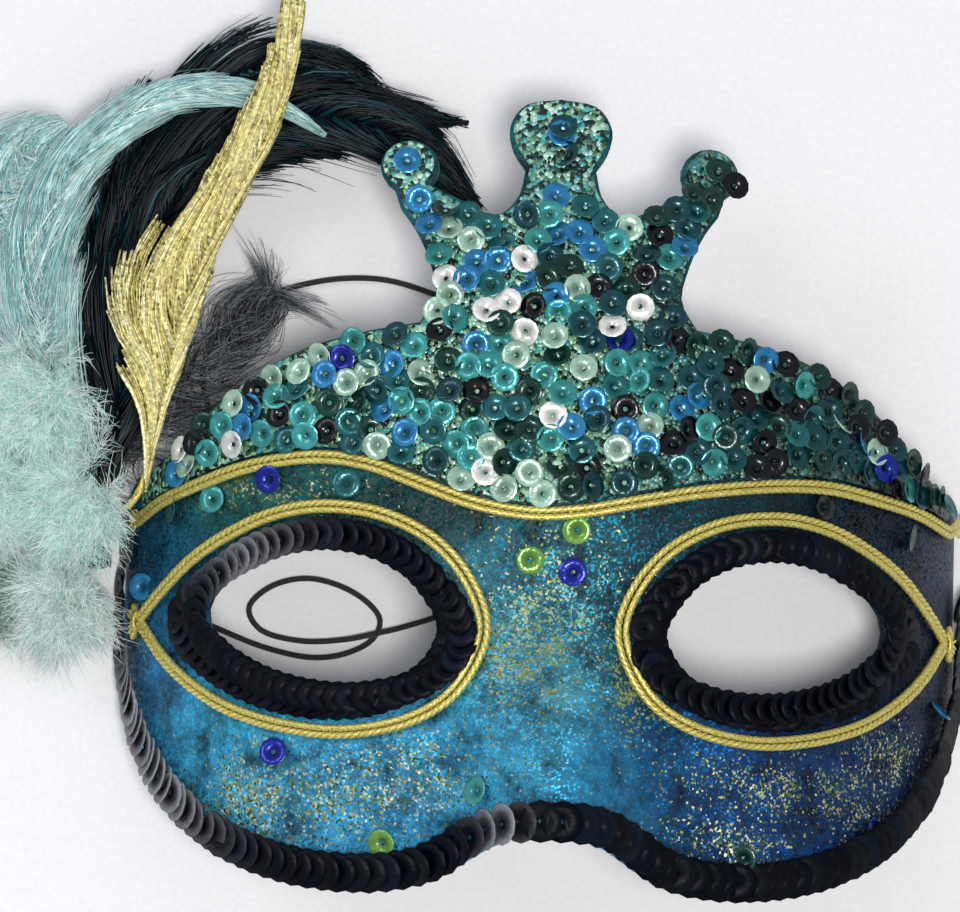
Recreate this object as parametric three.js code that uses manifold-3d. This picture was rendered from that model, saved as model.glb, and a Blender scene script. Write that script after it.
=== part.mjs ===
// Venetian half mask with a three-pronged crown and a feather plume, lying on its back.
// Millimetres. +Z is the way the face looks, +Y is towards the crown, +X is the wearer's left.
//
// The sheet pieces are cut flat from a pattern (u across, v up, w outwards), as felt and cloth are,
// and then formed over the face. u is 0 at the middle of the nose, v is 0 at the eye line,
// and w is 0 on the front of the moulded shell.

import * as THREE from 'three';
import { mergeVertices } from 'three/addons/utils/BufferGeometryUtils.js';
import Module from 'manifold-3d';

const wasm = await Module();
wasm.setup();

// ---------------------------------------------------------------- driving dimensions

const HALF_WIDTH = 84;        // half the width across the temples
const FACE_DEPTH = 64;        // depth of the arch from the temples to the brow
const TEMPLE_CUT = 6;         // depth lost where the temple edges are cut level
const ARC = 74;               // pattern millimetres for one radian around the head
const NOSE_RISE = 15;         // how far the nose stands out at its tip
const NOSE_HALF = 10;         // half width of the nose ridge
const NOSE_TOP = 5;           // the nose starts to rise this far above the eye line
const NOSE_RUN = 50;          // and reaches its full height this far below that
const EYE_RECESS = 3;         // depth of the eye sockets
const EYE_X = 42;             // distance of each eye from the middle
const EYE_SPREAD = 18;        // how far each socket spreads across
const EYE_RISE = 12;          // and up and down
const FOREHEAD = { slope: 0.32, from: 48, soft: 22 };   // the forehead falls back above its start
const CHEEK_FALL = { slope: 0.4, from: 40, soft: 15 };  // and the cheek falls back below its own

const SHELL = 1.8;            // thickness of the moulded shell
const GAP = 0.5;              // gap left between touching pieces
const LINING_GAP = 0.9;       // the lining is only glued at its edges
const LINING = 0.8;           // thickness of the felt lining
const CLOTH = 0.7;            // thickness of the sequined cloth
const TRIM = 1.6;             // height of the strung sequin trims
const EDGE_TRIM_WIDTH = 8;    // the trim around the lower edge, one sequin wide
const BRAID_WIDTH = 2.6;      // soutache braid, two cords side by side
const BRAID_HEIGHT = 1.5;
const CORD = 1.2;             // diameter of the elastic
const KNOT = 3.4;             // diameter of the knots on its ends

const TEMPLE_U = 111;         // the pattern runs this far, past the table plane
const LINING_U = 103;         // the lining stops short of the temple edge
const CLOTH_U = 96;           // so does the sequined cloth

// ---------------------------------------------------------------- colours

const NAVY = 0x0b1530;
const TEAL = 0x2f8f95;
const CYAN = 0x3f9fc4;
const GOLD = 0xc9b458;
const BLACK = 0x08080a;
const FELT = 0x20242c;
const PALE = 0x9cc9c9;
const MARABOU = 0xb4d2ce;
const OLIVE = 0x5f7a5c;
const COQUE = 0x062028;

// ---------------------------------------------------------------- the face

// Rises smoothly from 0 to t, with a corner of radius k.
const ramp = (t, k) => (t + Math.hypot(t, k)) / 2;

// 0 below t = 0, 1 above t = 1, with an S between them.
const smooth = (t) => {
  const s = THREE.MathUtils.clamp(t, 0, 1);
  return s * s * (3 - 2 * s);
};

// A point of the front of the shell for pattern coordinates u and v.
function face(u, v) {
  const around = u / ARC;
  const x = HALF_WIDTH * Math.sin(around);
  const forehead = FOREHEAD.slope * ramp(v - FOREHEAD.from, FOREHEAD.soft);
  const cheek = CHEEK_FALL.slope * ramp(-v - CHEEK_FALL.from, CHEEK_FALL.soft);
  let z = Math.cos(around) * (FACE_DEPTH - forehead - cheek) - TEMPLE_CUT;
  z += NOSE_RISE * smooth((NOSE_TOP - v) / NOSE_RUN) * Math.exp((-x * x) / (2 * NOSE_HALF ** 2));
  for (const eye of [-EYE_X, EYE_X]) {
    z -= EYE_RECESS * Math.exp(-((x - eye) ** 2 / (2 * EYE_SPREAD ** 2) + v ** 2 / (2 * EYE_RISE ** 2)));
  }
  return new THREE.Vector3(x, v, z);
}

// The outward direction of the face there.
function outward(u, v) {
  const step = 0.5;
  const across = face(u + step, v).sub(face(u - step, v));
  const up = face(u, v + step).sub(face(u, v - step));
  return across.cross(up).normalize();
}

// The face is faceted on one grid, so that every layer has the same facets and the gaps stay even.
const CELL_U = 8.2;
const CELL_V = 7.2;
const COLS = 28;
const ROWS = 24;
const U_MIN = (-COLS * CELL_U) / 2;
const V_MIN = -62;

const grid = [];
for (let j = 0; j <= ROWS; j++) {
  for (let i = 0; i <= COLS; i++) {
    const u = U_MIN + i * CELL_U;
    const v = V_MIN + j * CELL_V;
    grid.push({ point: face(u, v), normal: outward(u, v) });
  }
}

// Takes a pattern point to its place on the formed face.
function form(u, v, w) {
  const a = THREE.MathUtils.clamp((u - U_MIN) / CELL_U, 0, COLS - 1e-6);
  const b = THREE.MathUtils.clamp((v - V_MIN) / CELL_V, 0, ROWS - 1e-6);
  const i = Math.floor(a);
  const j = Math.floor(b);
  const out = new THREE.Vector3();
  for (const [di, dj] of [[0, 0], [1, 0], [0, 1], [1, 1]]) {
    const share = (di ? a - i : 1 - a + i) * (dj ? b - j : 1 - b + j);
    const node = grid[(j + dj) * (COLS + 1) + i + di];
    out.addScaledVector(node.point, share).addScaledVector(node.normal, share * w);
  }
  return out;
}

// ---------------------------------------------------------------- solids

// Strips a geometry to its shared corner points.
function welded(geometry) {
  const plain = geometry.clone();
  plain.deleteAttribute('normal');
  plain.deleteAttribute('uv');
  return mergeVertices(plain, 1e-4);
}

// A three.js geometry as a manifold-3d solid.
function solid(geometry) {
  const shape = welded(geometry);
  return new wasm.Manifold(new wasm.Mesh({
    numProp: 3,
    vertProperties: Float32Array.from(shape.attributes.position.array),
    triVerts: Uint32Array.from(shape.index.array),
  }));
}

// A manifold-3d solid as a three.js geometry.
function geometryOf(manifold) {
  const mesh = manifold.getMesh();
  const geometry = new THREE.BufferGeometry();
  geometry.setAttribute('position', new THREE.BufferAttribute(mesh.vertProperties, 3));
  geometry.setIndex(new THREE.BufferAttribute(mesh.triVerts, 1));
  return geometry;
}

// Moves every corner of a geometry by a function of its place.
function moved(geometry, place) {
  const position = geometry.attributes.position;
  const corner = new THREE.Vector3();
  for (let i = 0; i < position.count; i++) {
    corner.fromBufferAttribute(position, i);
    const to = place(corner);
    position.setXYZ(i, to.x, to.y, to.z);
  }
  geometry.boundingBox = null;
  return geometry;
}

const formed = (geometry) => moved(geometry, (p) => form(p.x, p.y, p.z));

// A slight doming keeps the flat sheet's grid corners apart while it is cut, and comes off again.
const DOMING = 0.0005;
const dome = (p) => DOMING * (p.x ** 2 + p.y ** 2);

const CUT_DEPTH = 60;

// Cuts a pattern shape from a sheet that lies between two heights, and forms it over the face.
function cutSheet(shape, low, high) {
  const sheet = new THREE.BoxGeometry(COLS * CELL_U, ROWS * CELL_V, high - low, COLS, ROWS, 1);
  sheet.translate(0, V_MIN + (ROWS * CELL_V) / 2, (low + high) / 2);
  moved(sheet, (p) => p.setZ(p.z + dome(p)));
  const cutter = new THREE.ExtrudeGeometry(shape, { depth: CUT_DEPTH, bevelEnabled: false });
  cutter.translate(0, 0, -CUT_DEPTH / 2);
  const cut = geometryOf(solid(sheet).intersect(solid(cutter)));
  moved(cut, (p) => p.setZ(p.z - dome(p)));
  return formed(cut);
}

// The half space below the table, which cuts the temple edges level.
const table = new THREE.BoxGeometry(400, 400, 40).translate(0, 0, -20);
const cutLevel = (geometry) => geometryOf(solid(geometry).subtract(solid(table)));

// ---------------------------------------------------------------- pattern outlines

const flat = (points) => points.map(([u, v]) => new THREE.Vector3(u, v, 0));
const mirrored = (points) => points.map(([u, v]) => [-u, v]).reverse();
const curveThrough = (points, closed = false) =>
  new THREE.CatmullRomCurve3(flat(points), closed, 'centripetal');
const sampled = (points, count, closed = false) =>
  curveThrough(points, closed).getSpacedPoints(count).map((p) => [p.x, p.y]);
const shapeOf = (points) => new THREE.Shape(points.map(([u, v]) => new THREE.Vector2(u, v)));

// Moves an outline sideways, to the left of the way it runs.
function offset(points, distance) {
  return points.map(([u, v], i) => {
    const [u0, v0] = points[Math.max(i - 1, 0)];
    const [u1, v1] = points[Math.min(i + 1, points.length - 1)];
    const length = Math.hypot(u1 - u0, v1 - v0);
    return [u - ((v1 - v0) / length) * distance, v + ((u1 - u0) / length) * distance];
  });
}

// Right half of the mask, from under the nose round the cheek to the temple, and over the brow.
const CHEEK = [
  [0, -42.3], [7, -43.2], [12, -46], [16.5, -49.3], [23, -51.3], [31, -52.3], [43, -51.6],
  [56, -48.2], [69, -42.3], [82, -33.8], [93, -23.5], [102, -13.5], [TEMPLE_U, -6],
];
const DOME = [
  [TEMPLE_U, 24], [103, 26], [96, 28], [88, 29.5], [80, 32], [72, 36.6], [65, 41.3],
  [57, 46], [46, 51], [35, 54], [24, 56],
];
const PRONG_SIDE = [[24, 56], [21.2, 61.5], [22.4, 68], [25.2, 75], [29.2, 81]];
const PRONG_TIP = { u: 26.5, v: 87.8, radius: 5.3, from: -1.05, to: 3.9 };
const VALLEY = [[22.6, 84], [17, 80.6], [10.8, 77.8], [7.3, 81.5], [6, 87.5]];
const KNOB = [[6, 87.5], [8.2, 91.5], [8.8, 96], [6.2, 100.6], [0, 102]];

function prongTip() {
  const { u, v, radius, from, to } = PRONG_TIP;
  const arc = new THREE.EllipseCurve(u, v, radius, radius, from, to);
  return arc.getPoints(9).map((p) => [p.x, p.y]);
}

// The whole right side with the crown, then its mirror image.
function maskOutline() {
  const right = [
    ...sampled(CHEEK, 30),
    ...sampled(DOME, 20),
    ...sampled(PRONG_SIDE, 5).slice(1, -1),
    ...prongTip(),
    ...sampled(VALLEY, 6).slice(0, -1),
    ...sampled(KNOB, 7),
  ];
  return [...right, ...mirrored(right).slice(1, -1)];
}

const EYE_HOLE = [
  [17, -5], [19.4, -9.8], [26, -13.2], [35.5, -14.6], [47, -12.8], [58, -8], [66.8, 0],
  [61, 6], [52, 10.6], [40, 12.8], [29, 10.4], [21, 3.4],
];
const EYE_TRIM = [
  [13.4, -2.6], [14.8, -9.2], [18.8, -15], [25.2, -18.9], [35, -21.2], [47, -20.3], [58, -17],
  [67, -12.6], [75, -7], [78.5, -1.2], [75.5, 4.2], [67, 9.4], [58.5, 13.6], [49.5, 16.9],
  [40, 18.1], [29.8, 16.3], [21.6, 11.6], [16.2, 4.8],
];
const EYE_BRAID = [
  [87.8, -2.4], [80, -8], [70.8, -13.6], [59.5, -18.9], [46.5, -22.3], [35, -23.2],
  [24, -20.9], [17, -16.5], [12.8, -9.7], [11.4, -2.6], [14.3, 6.2], [20, 13.4], [28.9, 18.4],
  [40, 20.2], [50, 19], [60, 15.6], [70.5, 10.8], [80, 5.2], [87.8, 0.8],
];
const BROW_BRAID = [
  [-92, 19.5], [-82, 22.3], [-70.8, 24.9], [-55, 28.4], [-42, 29.6], [-32.4, 28.2],
  [-21.6, 23.9], [-13, 20.6], [-4, 19], [4, 19.6], [14, 21.9], [25, 24.4], [40, 26.5],
  [51, 26.8], [62, 25.6], [76, 23.9], [92, 21.6],
];
const LOWER_EDGE = [
  [0, -39.8], [8, -40.6], [13, -43.2], [18, -46.6], [23.5, -48.5], [31, -49.4], [42.5, -48.6],
  [55, -45.3], [67, -39.8], [79, -31.6], [88.5, -22.6], [97, -12.5], [101.5, -3], [103, 8],
];

// A closed ring: an outline with a hole through it.
function ring(outer, inner) {
  const shape = shapeOf(outer);
  shape.holes.push(shapeOf(inner));
  return shape;
}

const onSide = (side, points) => (side > 0 ? points : mirrored(points));
const eyeHole = (side, grow) => onSide(side, offset(sampled(EYE_HOLE, 32, true), -grow).slice(0, -1));

const SHELL_BACK = 1.4;       // the trims stand over the eye holes by this much
const LINING_BACK = 3.2;      // and the lining stops further back
const LINING_INSET = 3;       // as it does all round its edge
const CLOTH_INSET = 0.7;      // the cloth stops just inside the shell's edge
const HEM = BRAID_WIDTH / 2 + GAP + 0.2;

function shellShape() {
  const shape = shapeOf(maskOutline());
  for (const side of [-1, 1]) shape.holes.push(shapeOf(eyeHole(side, SHELL_BACK)));
  return shape;
}

// The lining follows the shell a little way inside its edge, and leaves the crown bare.
function liningShape() {
  const cheek = offset(sampled(CHEEK, 26), LINING_INSET).filter(([u]) => u > 0 && u < LINING_U);
  const brow = offset(sampled(DOME, 16), LINING_INSET).filter(([u]) => u < LINING_U);
  const right = [[0, -39.2], ...cheek, ...brow, [12, 54.5]];
  const shape = shapeOf([...right, ...mirrored(right).slice(0, -1)]);
  for (const side of [-1, 1]) shape.holes.push(shapeOf(eyeHole(side, LINING_BACK)));
  return shape;
}

// The sequined cloth covers the crown and the forehead down to the brow braid.
function clothShape() {
  const hem = offset(sampled(BROW_BRAID, 44), HEM);
  const hemAt = (u) => hem.reduce((a, b) => (Math.abs(b[0] - u) < Math.abs(a[0] - u) ? b : a))[1];
  const inset = offset(maskOutline(), CLOTH_INSET);
  const top = inset.filter(([u, v]) => Math.abs(u) < CLOTH_U && v > hemAt(u) + 1.5);
  const ends = hem.filter(([u]) => Math.abs(u) < CLOTH_U - 5);
  return shapeOf([...ends, ...top]);
}

// ---------------------------------------------------------------- strips laid on the face

// A flat strip of a given width and height, swept along a pattern line and formed over the face.
function strip(points, width, low, height, steps, bevel) {
  const half = width / 2;
  const section = new THREE.Shape();
  section.moveTo(0, -half);
  section.lineTo(0, half);
  section.lineTo(-(height - bevel), half);
  section.lineTo(-height, half - bevel);
  section.lineTo(-height, bevel - half);
  section.lineTo(-(height - bevel), -half);
  section.closePath();
  const extrudePath = curveThrough(points);
  const swept = new THREE.ExtrudeGeometry(section, { steps, extrudePath, bevelEnabled: false });
  swept.computeBoundingBox();
  const { min, max } = swept.boundingBox;
  const lift = low - (Math.abs(min.z) > max.z ? min.z : 0);
  return formed(moved(welded(swept), (p) => p.setZ(p.z + lift)));
}

const braid = (points, steps) =>
  strip(points, BRAID_WIDTH, GAP, BRAID_HEIGHT, steps, BRAID_HEIGHT * 0.45);

// ---------------------------------------------------------------- the object

const mask = new THREE.Group();

function add(name, geometry, color, roughness = 0.8, metalness = 0, parent = mask) {
  const material = new THREE.MeshStandardMaterial({ color, roughness, metalness });
  const mesh = new THREE.Mesh(geometry, material);
  mesh.name = name;
  parent.add(mesh);
  return mesh;
}

add('mask_shell', cutLevel(cutSheet(shellShape(), -SHELL, 0)), CYAN, 0.55);
add('felt_lining', cutSheet(liningShape(), -SHELL - LINING_GAP - LINING, -SHELL - LINING_GAP), FELT, 0.95);
add('sequin_cloth', cutSheet(clothShape(), GAP, GAP + CLOTH), TEAL, 0.45);
add('brow_braid', braid(BROW_BRAID, 64), GOLD, 0.35, 0.8);

for (const [label, side] of [['left', -1], ['right', 1]]) {
  add(`eye_braid_${label}`, braid(onSide(side, EYE_BRAID), 64), GOLD, 0.35, 0.8);
  const band = ring(onSide(side, sampled(EYE_TRIM, 40, true).slice(0, -1)), eyeHole(side, 0));
  add(`eye_sequin_trim_${label}`, cutSheet(band, GAP, GAP + TRIM), NAVY, 0.25);
}

const lowerEdge = sampled([...mirrored(LOWER_EDGE).slice(0, -1), ...LOWER_EDGE], 90);
const edgeBand = [
  ...offset(lowerEdge, -EDGE_TRIM_WIDTH / 2),
  ...offset(lowerEdge, EDGE_TRIM_WIDTH / 2).reverse(),
];
add('edge_sequin_trim', cutSheet(shapeOf(edgeBand), GAP, GAP + TRIM), NAVY, 0.25);

// ---------------------------------------------------------------- elastic and its anchors

const PATCH = { u: 98, v: 9, width: 12, length: 18, thickness: 1.2, inset: 5 };
const KNOT_V = 6;

// A piece that stands square to the inside of the face, at a depth behind the shell's front.
function behindFace(mesh, u, v, depth) {
  const normal = outward(u, v);
  mesh.position.copy(face(u, v)).addScaledVector(normal, -depth);
  mesh.quaternion.setFromUnitVectors(new THREE.Vector3(0, 0, 1), normal);
}

for (const [label, side] of [['left', -1], ['right', 1]]) {
  const plate = new THREE.BoxGeometry(PATCH.width, PATCH.length, PATCH.thickness);
  behindFace(add(`felt_patch_${label}`, plate, FELT, 0.95), side * PATCH.u, PATCH.v, PATCH.inset);
  const depth = PATCH.inset + PATCH.thickness / 2 + GAP + KNOT / 2;
  const knot = new THREE.SphereGeometry(KNOT / 2, 10, 8);
  behindFace(add(`elastic_knot_${label}`, knot, BLACK, 0.9), side * PATCH.u, KNOT_V, depth);
}

// From the left knot the elastic drops to the table, loops once behind the left eye,
// passes behind the nose, shows beside the crown and comes back to the right knot.
const ELASTIC = [
  [-74.0, 4.0, 5.8], [-73.2, 2.4, 3.6], [-71.5, 1.2, 1.5], [-67.2, 0.1, 0.7],
  [-55.3, -4.3, 0.65], [-45.3, -6.1, 0.65], [-38.3, -4.9, 0.65], [-33.4, -1.9, 0.65],
  [-32.2, 2, 0.65], [-36.9, 6.8, 0.65], [-46.4, 9.8, 0.65], [-54.4, 7.9, 0.65],
  [-58.6, 3.5, 0.65], [-56.4, -0.6, 0.65], [-48.3, -2.8, 0.75], [-39.5, -2.4, 1.5],
  [-32.9, -1, 2.15], [-26.5, 0.8, 1.3], [-17, 4.6, 0.65], [-6, 13, 0.65], [1.5, 25, 0.65],
  [4, 39, 0.65], [0, 53, 0.65], [-10, 63, 0.65], [-22.2, 68, 0.65], [-34, 71, 0.65],
  [-47.4, 70, 0.65], [-61, 64.5, 0.65], [-69, 54, 0.65], [-67, 42, 0.65], [-55, 33.5, 0.65],
  [-38, 30, 0.65], [-18, 31, 0.8], [-5, 32, 1.6], [3.4, 32.4, 2.15], [12, 32.6, 1.5],
  [25, 32.6, 0.7], [43, 32, 0.65], [59, 28.5, 0.65], [71, 20.5, 0.65], [75.2, 14, 1.3],
  [75.2, 10.6, 3.6], [74.9, 8.4, 5.6],
];

function tube(points, diameter, sides, steps) {
  const section = new THREE.Shape();
  for (let i = 0; i < sides; i++) {
    const angle = ((i + 0.5) * 2 * Math.PI) / sides;
    const corner = [(diameter / 2) * Math.cos(angle), (diameter / 2) * Math.sin(angle)];
    if (i === 0) section.moveTo(...corner);
    else section.lineTo(...corner);
  }
  section.closePath();
  const route = points.map((p) => new THREE.Vector3(...p));
  const extrudePath = new THREE.CatmullRomCurve3(route, false, 'centripetal');
  return new THREE.ExtrudeGeometry(section, { steps, extrudePath, bevelEnabled: false });
}

add('elastic_cord', tube(ELASTIC, CORD, 8, 80), BLACK, 0.9);

// ---------------------------------------------------------------- ends of the braids

// The two ends of each eye braid are caught together at the outer corner of the eye,
// and the brow braid's left end is curled on itself beside the plume.
function dab(u, v, width, length) {
  const place = form(u, v, GAP + 0.2 + BRAID_HEIGHT / 2);
  const geometry = new THREE.SphereGeometry(0.5, 10, 8);
  geometry.scale(width, length, BRAID_HEIGHT);
  const turn = new THREE.Quaternion();
  turn.setFromUnitVectors(new THREE.Vector3(0, 0, 1), outward(u, v));
  return geometry.applyQuaternion(turn).translate(place.x, place.y, place.z);
}

add('eye_braid_tie_left', dab(-91.2, -0.8, 4.4, 4.4), GOLD, 0.4, 0.8);
add('eye_braid_tie_right', dab(91.2, -0.8, 4.4, 4.4), GOLD, 0.4, 0.8);
add('brow_braid_curl', dab(-94.6, 19.6, 3.6, 4.2), GOLD, 0.4, 0.8);

// ---------------------------------------------------------------- plume

const PLUME_ROOT = new THREE.Vector3(-88, 19.6, 14);
const PLUME_SLOPE = 0.12;                     // the feathers rise this much towards the crown
const BINDING = { x: -89.4, y: 14.4, z: 12.6, radius: 3.2, length: 9, flatten: 2.2 };

const BASE = { u: -103, v: 17.4, across: 5.4, up: 7, thickness: 1 };
const baseShape = new THREE.Shape();
baseShape.absellipse(BASE.u, BASE.v, BASE.across, BASE.up, 0, 2 * Math.PI);
add('plume_base', cutSheet(baseShape, GAP, GAP + BASE.thickness), FELT, 0.95);

const bound = new THREE.CylinderGeometry(BINDING.radius, BINDING.radius, BINDING.length, 14);
bound.scale(1, 1, BINDING.flatten).translate(BINDING.x, BINDING.y, BINDING.z);
add('quill_binding', bound, NAVY, 0.9);

// Every feather lies flat in one sloping plane that turns about the root.
const plume = new THREE.Group();
plume.position.copy(PLUME_ROOT);
plume.rotation.x = Math.atan(PLUME_SLOPE);
mask.add(plume);

const NARROWEST = 0.8;        // width of a blade's tip

// A feather blade: a centre line with a width at each point, given in mask x and y.
function blade(spine, height, thickness, steps = 18) {
  const centre = curveThrough(spine.map(([x, y]) => [x - PLUME_ROOT.x, y - PLUME_ROOT.y]));
  const widths = new THREE.SplineCurve(spine.map(([, , w], i) => new THREE.Vector2(i, w)));
  const left = [];
  const right = [];
  for (let i = 0; i <= steps; i++) {
    const p = centre.getPoint(i / steps);
    const along = centre.getTangent(i / steps);
    const half = Math.max(widths.getPoint(i / steps).y, NARROWEST) / 2;
    left.push([p.x - along.y * half, p.y + along.x * half]);
    right.push([p.x + along.y * half, p.y - along.x * half]);
  }
  const shape = shapeOf([...right, ...left.reverse()]);
  const depth = { depth: thickness, bevelEnabled: false };
  return new THREE.ExtrudeGeometry(shape, depth).translate(0, 0, height);
}

const COQUES = {
  coque_feather_outer: {
    height: -8.2,
    spine: [[-88, 20.4, 2], [-94, 40, 8], [-95, 62, 12], [-88, 86, 14], [-73, 103, 14],
      [-57, 111, 14], [-44, 108, 12], [-34, 103.5, 5], [-21.5, 101, 1]],
  },
  coque_feather_inner: {
    height: -6.4,
    spine: [[-88, 20.4, 2], [-90, 42, 8], [-88, 64, 12], [-79, 84, 16], [-65, 96, 17],
      [-49, 101, 17], [-34, 98.5, 13], [-24, 92.5, 8], [-17.5, 86.5, 2]],
  },
  coque_feather_short: {
    height: -4.6,
    spine: [[-88, 20.4, 2], [-86.2, 36, 8], [-84.5, 52, 14], [-81, 68, 16], [-75, 84, 11],
      [-69, 92, 2]],
  },
  coque_down: {
    height: -10,
    spine: [[-88.4, 21.6, 2], [-87.4, 31, 3.5], [-80.5, 40, 8], [-71, 49, 11], [-63, 58, 9],
      [-56, 65.5, 2]],
  },
};

const PLUMES = {
  ostrich_plume_upper: {
    height: 2.6,
    spine: [[-88.4, 20.4, 3], [-95, 38, 14], [-100, 58, 19], [-98, 78, 18], [-89, 93, 15],
      [-76, 101, 11], [-61, 102.6, 7], [-46, 98, 2]],
  },
  ostrich_plume_middle: {
    height: 0.4,
    spine: [[-88.8, 20.4, 3], [-98, 34, 16], [-108, 50, 24], [-114, 68, 25], [-113, 86, 17],
      [-106, 98, 4]],
  },
  ostrich_plume_lower: {
    height: -1.8,
    spine: [[-90.6, 22, 3], [-99, 27.4, 12], [-110, 35, 18], [-119, 47, 21], [-124, 62, 16],
      [-125, 74, 4]],
  },
};

const VANE = 0.8;             // thickness of the stiff feathers
const FLUFF = 1.4;            // and of the soft ones
for (const [name, { spine, height }] of Object.entries(COQUES)) {
  add(name, blade(spine, height, VANE), COQUE, 0.4, 0, plume);
}
for (const [name, { spine, height }] of Object.entries(PLUMES)) {
  add(name, blade(spine, height, FLUFF), PALE, 0.9, 0, plume);
}

// The glittered feather lies in front of the rest, with its quill behind the vane.
const GOLD_VANE = {
  height: 10,
  spine: [[-79.6, 25.4, 2.2], [-78.4, 34, 4.6], [-77.4, 44, 7], [-77.4, 54, 12.5],
    [-77, 63, 17], [-71.6, 74, 14.5], [-67, 83, 12.4], [-61.6, 92.6, 9], [-57.5, 102, 6.2],
    [-54.7, 112, 4.6], [-53.2, 122, 3.4]],
};
const GOLD_QUILL = [
  [-86.2, 20.6], [-82.4, 22.6], [-79.4, 27.6], [-77.6, 36], [-75.9, 46], [-74.6, 56],
  [-72.4, 66], [-67.6, 78], [-62.2, 90], [-58, 101], [-55.2, 111],
];
const QUILL = { diameter: 1.5, height: 8.8 };
const goldVane = blade(GOLD_VANE.spine, GOLD_VANE.height, VANE, 24);
add('gold_feather_vane', goldVane, GOLD, 0.4, 0.5, plume);
const quillLine = GOLD_QUILL.map(([x, y]) => [x - PLUME_ROOT.x, y - PLUME_ROOT.y, QUILL.height]);
add('gold_feather_quill', tube(quillLine, QUILL.diameter, 8, 26), GOLD, 0.5, 0.3, plume);

// Short marabou fluff in front of the quills and beside the temple, one soft lump a tuft.
const TUFTS = [
  ['marabou_tuft_upper', [-101, 45.5, 31.5], [10.5, 13, 6.5], MARABOU],
  ['marabou_tuft_outer', [-115, 24, 26.5], [14.5, 10.5, 6.5], MARABOU],
  ['marabou_tuft_inner', [-93.6, 21, 28.5], [5.4, 9.5, 6], MARABOU],
  ['marabou_tuft_lower', [-95.4, 1.2, 15], [8, 7.8, 9], MARABOU],
  ['olive_tuft', [-112.5, 6, 9.8], [8.6, 8.4, 7.4], OLIVE],
];
for (const [name, place, radii, color] of TUFTS) {
  const lump = new THREE.SphereGeometry(1, 12, 9).scale(...radii).translate(...place);
  add(name, lump, color, 1);
}

// ---------------------------------------------------------------- origin

// The origin is at the middle of the underside of the whole object, without its elastic.
const extent = new THREE.Box3();
mask.updateMatrixWorld(true);
mask.traverse((piece) => {
  if (piece.isMesh && piece.name !== 'elastic_cord') extent.expandByObject(piece);
});
const middle = extent.getCenter(new THREE.Vector3());
mask.position.set(-middle.x, -middle.y, -extent.min.z);

export default mask;
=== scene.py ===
# %% [markdown]
# # A Venetian half mask with a crown and a feather plume
# The real mask is a moulded sheet, cut to outline and worn with an elastic. The crown and forehead
# carry loose cup sequins, gold braid and strings of black spangles follow the edges, and feathers
# are glued to one temple. Here each of those is made as its own piece, around the CAD frame.

# %% Load the frame
import math

import bpy
import numpy as np
from mathutils import Matrix, Vector


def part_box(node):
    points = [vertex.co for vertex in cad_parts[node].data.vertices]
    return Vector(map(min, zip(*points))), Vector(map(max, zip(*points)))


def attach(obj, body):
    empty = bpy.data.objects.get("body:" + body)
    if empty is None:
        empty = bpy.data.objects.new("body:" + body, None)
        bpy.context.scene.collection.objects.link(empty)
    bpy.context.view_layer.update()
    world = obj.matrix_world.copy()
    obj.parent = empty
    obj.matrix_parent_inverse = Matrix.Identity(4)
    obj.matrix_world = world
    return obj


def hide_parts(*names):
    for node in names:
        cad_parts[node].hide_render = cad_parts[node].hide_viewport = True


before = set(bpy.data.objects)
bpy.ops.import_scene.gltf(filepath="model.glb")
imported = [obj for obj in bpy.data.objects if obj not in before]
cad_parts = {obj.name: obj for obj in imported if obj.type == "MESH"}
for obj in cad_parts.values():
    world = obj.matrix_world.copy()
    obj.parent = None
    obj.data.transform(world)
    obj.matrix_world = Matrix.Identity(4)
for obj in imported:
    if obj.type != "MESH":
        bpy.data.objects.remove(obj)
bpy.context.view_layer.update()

# %% [markdown]
# ## One set of measures
# A maker measures a mask from the middle of its nose and from the eye line. The frame's own origin
# is under the middle of the whole object, plume included, so two numbers join the two: the shell's
# middle in X, and its crown's tip in Y, which is 102 mm above the eye line. Everything below is in
# millimetres from the mask's middle, and `to_frame` turns it into the frame's metres.

# %% Mask millimetres to frame metres
MM = 0.001
CROWN_TIP = 102.0
shell_low, shell_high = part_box("mask_shell")
MASK_X = (shell_low.x + shell_high.x) / 2 / MM
MASK_Y = shell_high.y / MM - CROWN_TIP


def to_frame(points):
    return (np.asarray(points, float) + (MASK_X, MASK_Y, 0.0)) * MM


print("mask middle in the frame, mm:", round(MASK_X, 2), round(MASK_Y, 2))

# %% [markdown]
# ## Camera
# The mask lies on its back, so the camera looks almost straight down on it. A long lens from nearly
# a metre away keeps the temples and the nose in proportion.

# %% Camera
CAMERA_DISTANCE = 950 * MM
VIEW_WIDTH = 187.2 * MM                       # what the frame shows across, at the look-at point
ELEVATION = math.radians(84)
SIDE_LEAN = math.radians(-1.8)
ROLL = math.radians(1.5)

look_at = Vector(to_frame((-14.0, 32.0, 35.0)))
back = Vector((math.sin(SIDE_LEAN), -math.cos(ELEVATION), math.sin(ELEVATION))).normalized()
up = (Vector((0, 1, 0)) - back * back.y).normalized()
across = up.cross(back)
turned = Matrix((across, up, back)).transposed().to_4x4() @ Matrix.Rotation(ROLL, 4, "Z")
camera = bpy.data.objects.new("camera", bpy.data.cameras.new("camera"))
camera.matrix_world = Matrix.Translation(look_at + back * CAMERA_DISTANCE) @ turned
camera.data.sensor_width = 36
camera.data.lens = 36 * CAMERA_DISTANCE / VIEW_WIDTH
camera.data.clip_start = 0.05
bpy.context.collection.objects.link(camera)
bpy.context.scene.camera = camera
print("lens, mm:", round(camera.data.lens))

# %% [markdown]
# ## Colours and nodes
# Colours are picked as sRGB hex values, as on a paint chart, and one function turns them into the
# linear light that the renderer works in. One more function adds a shader node with its settings
# and links, so that each material below reads as a short recipe.


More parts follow.
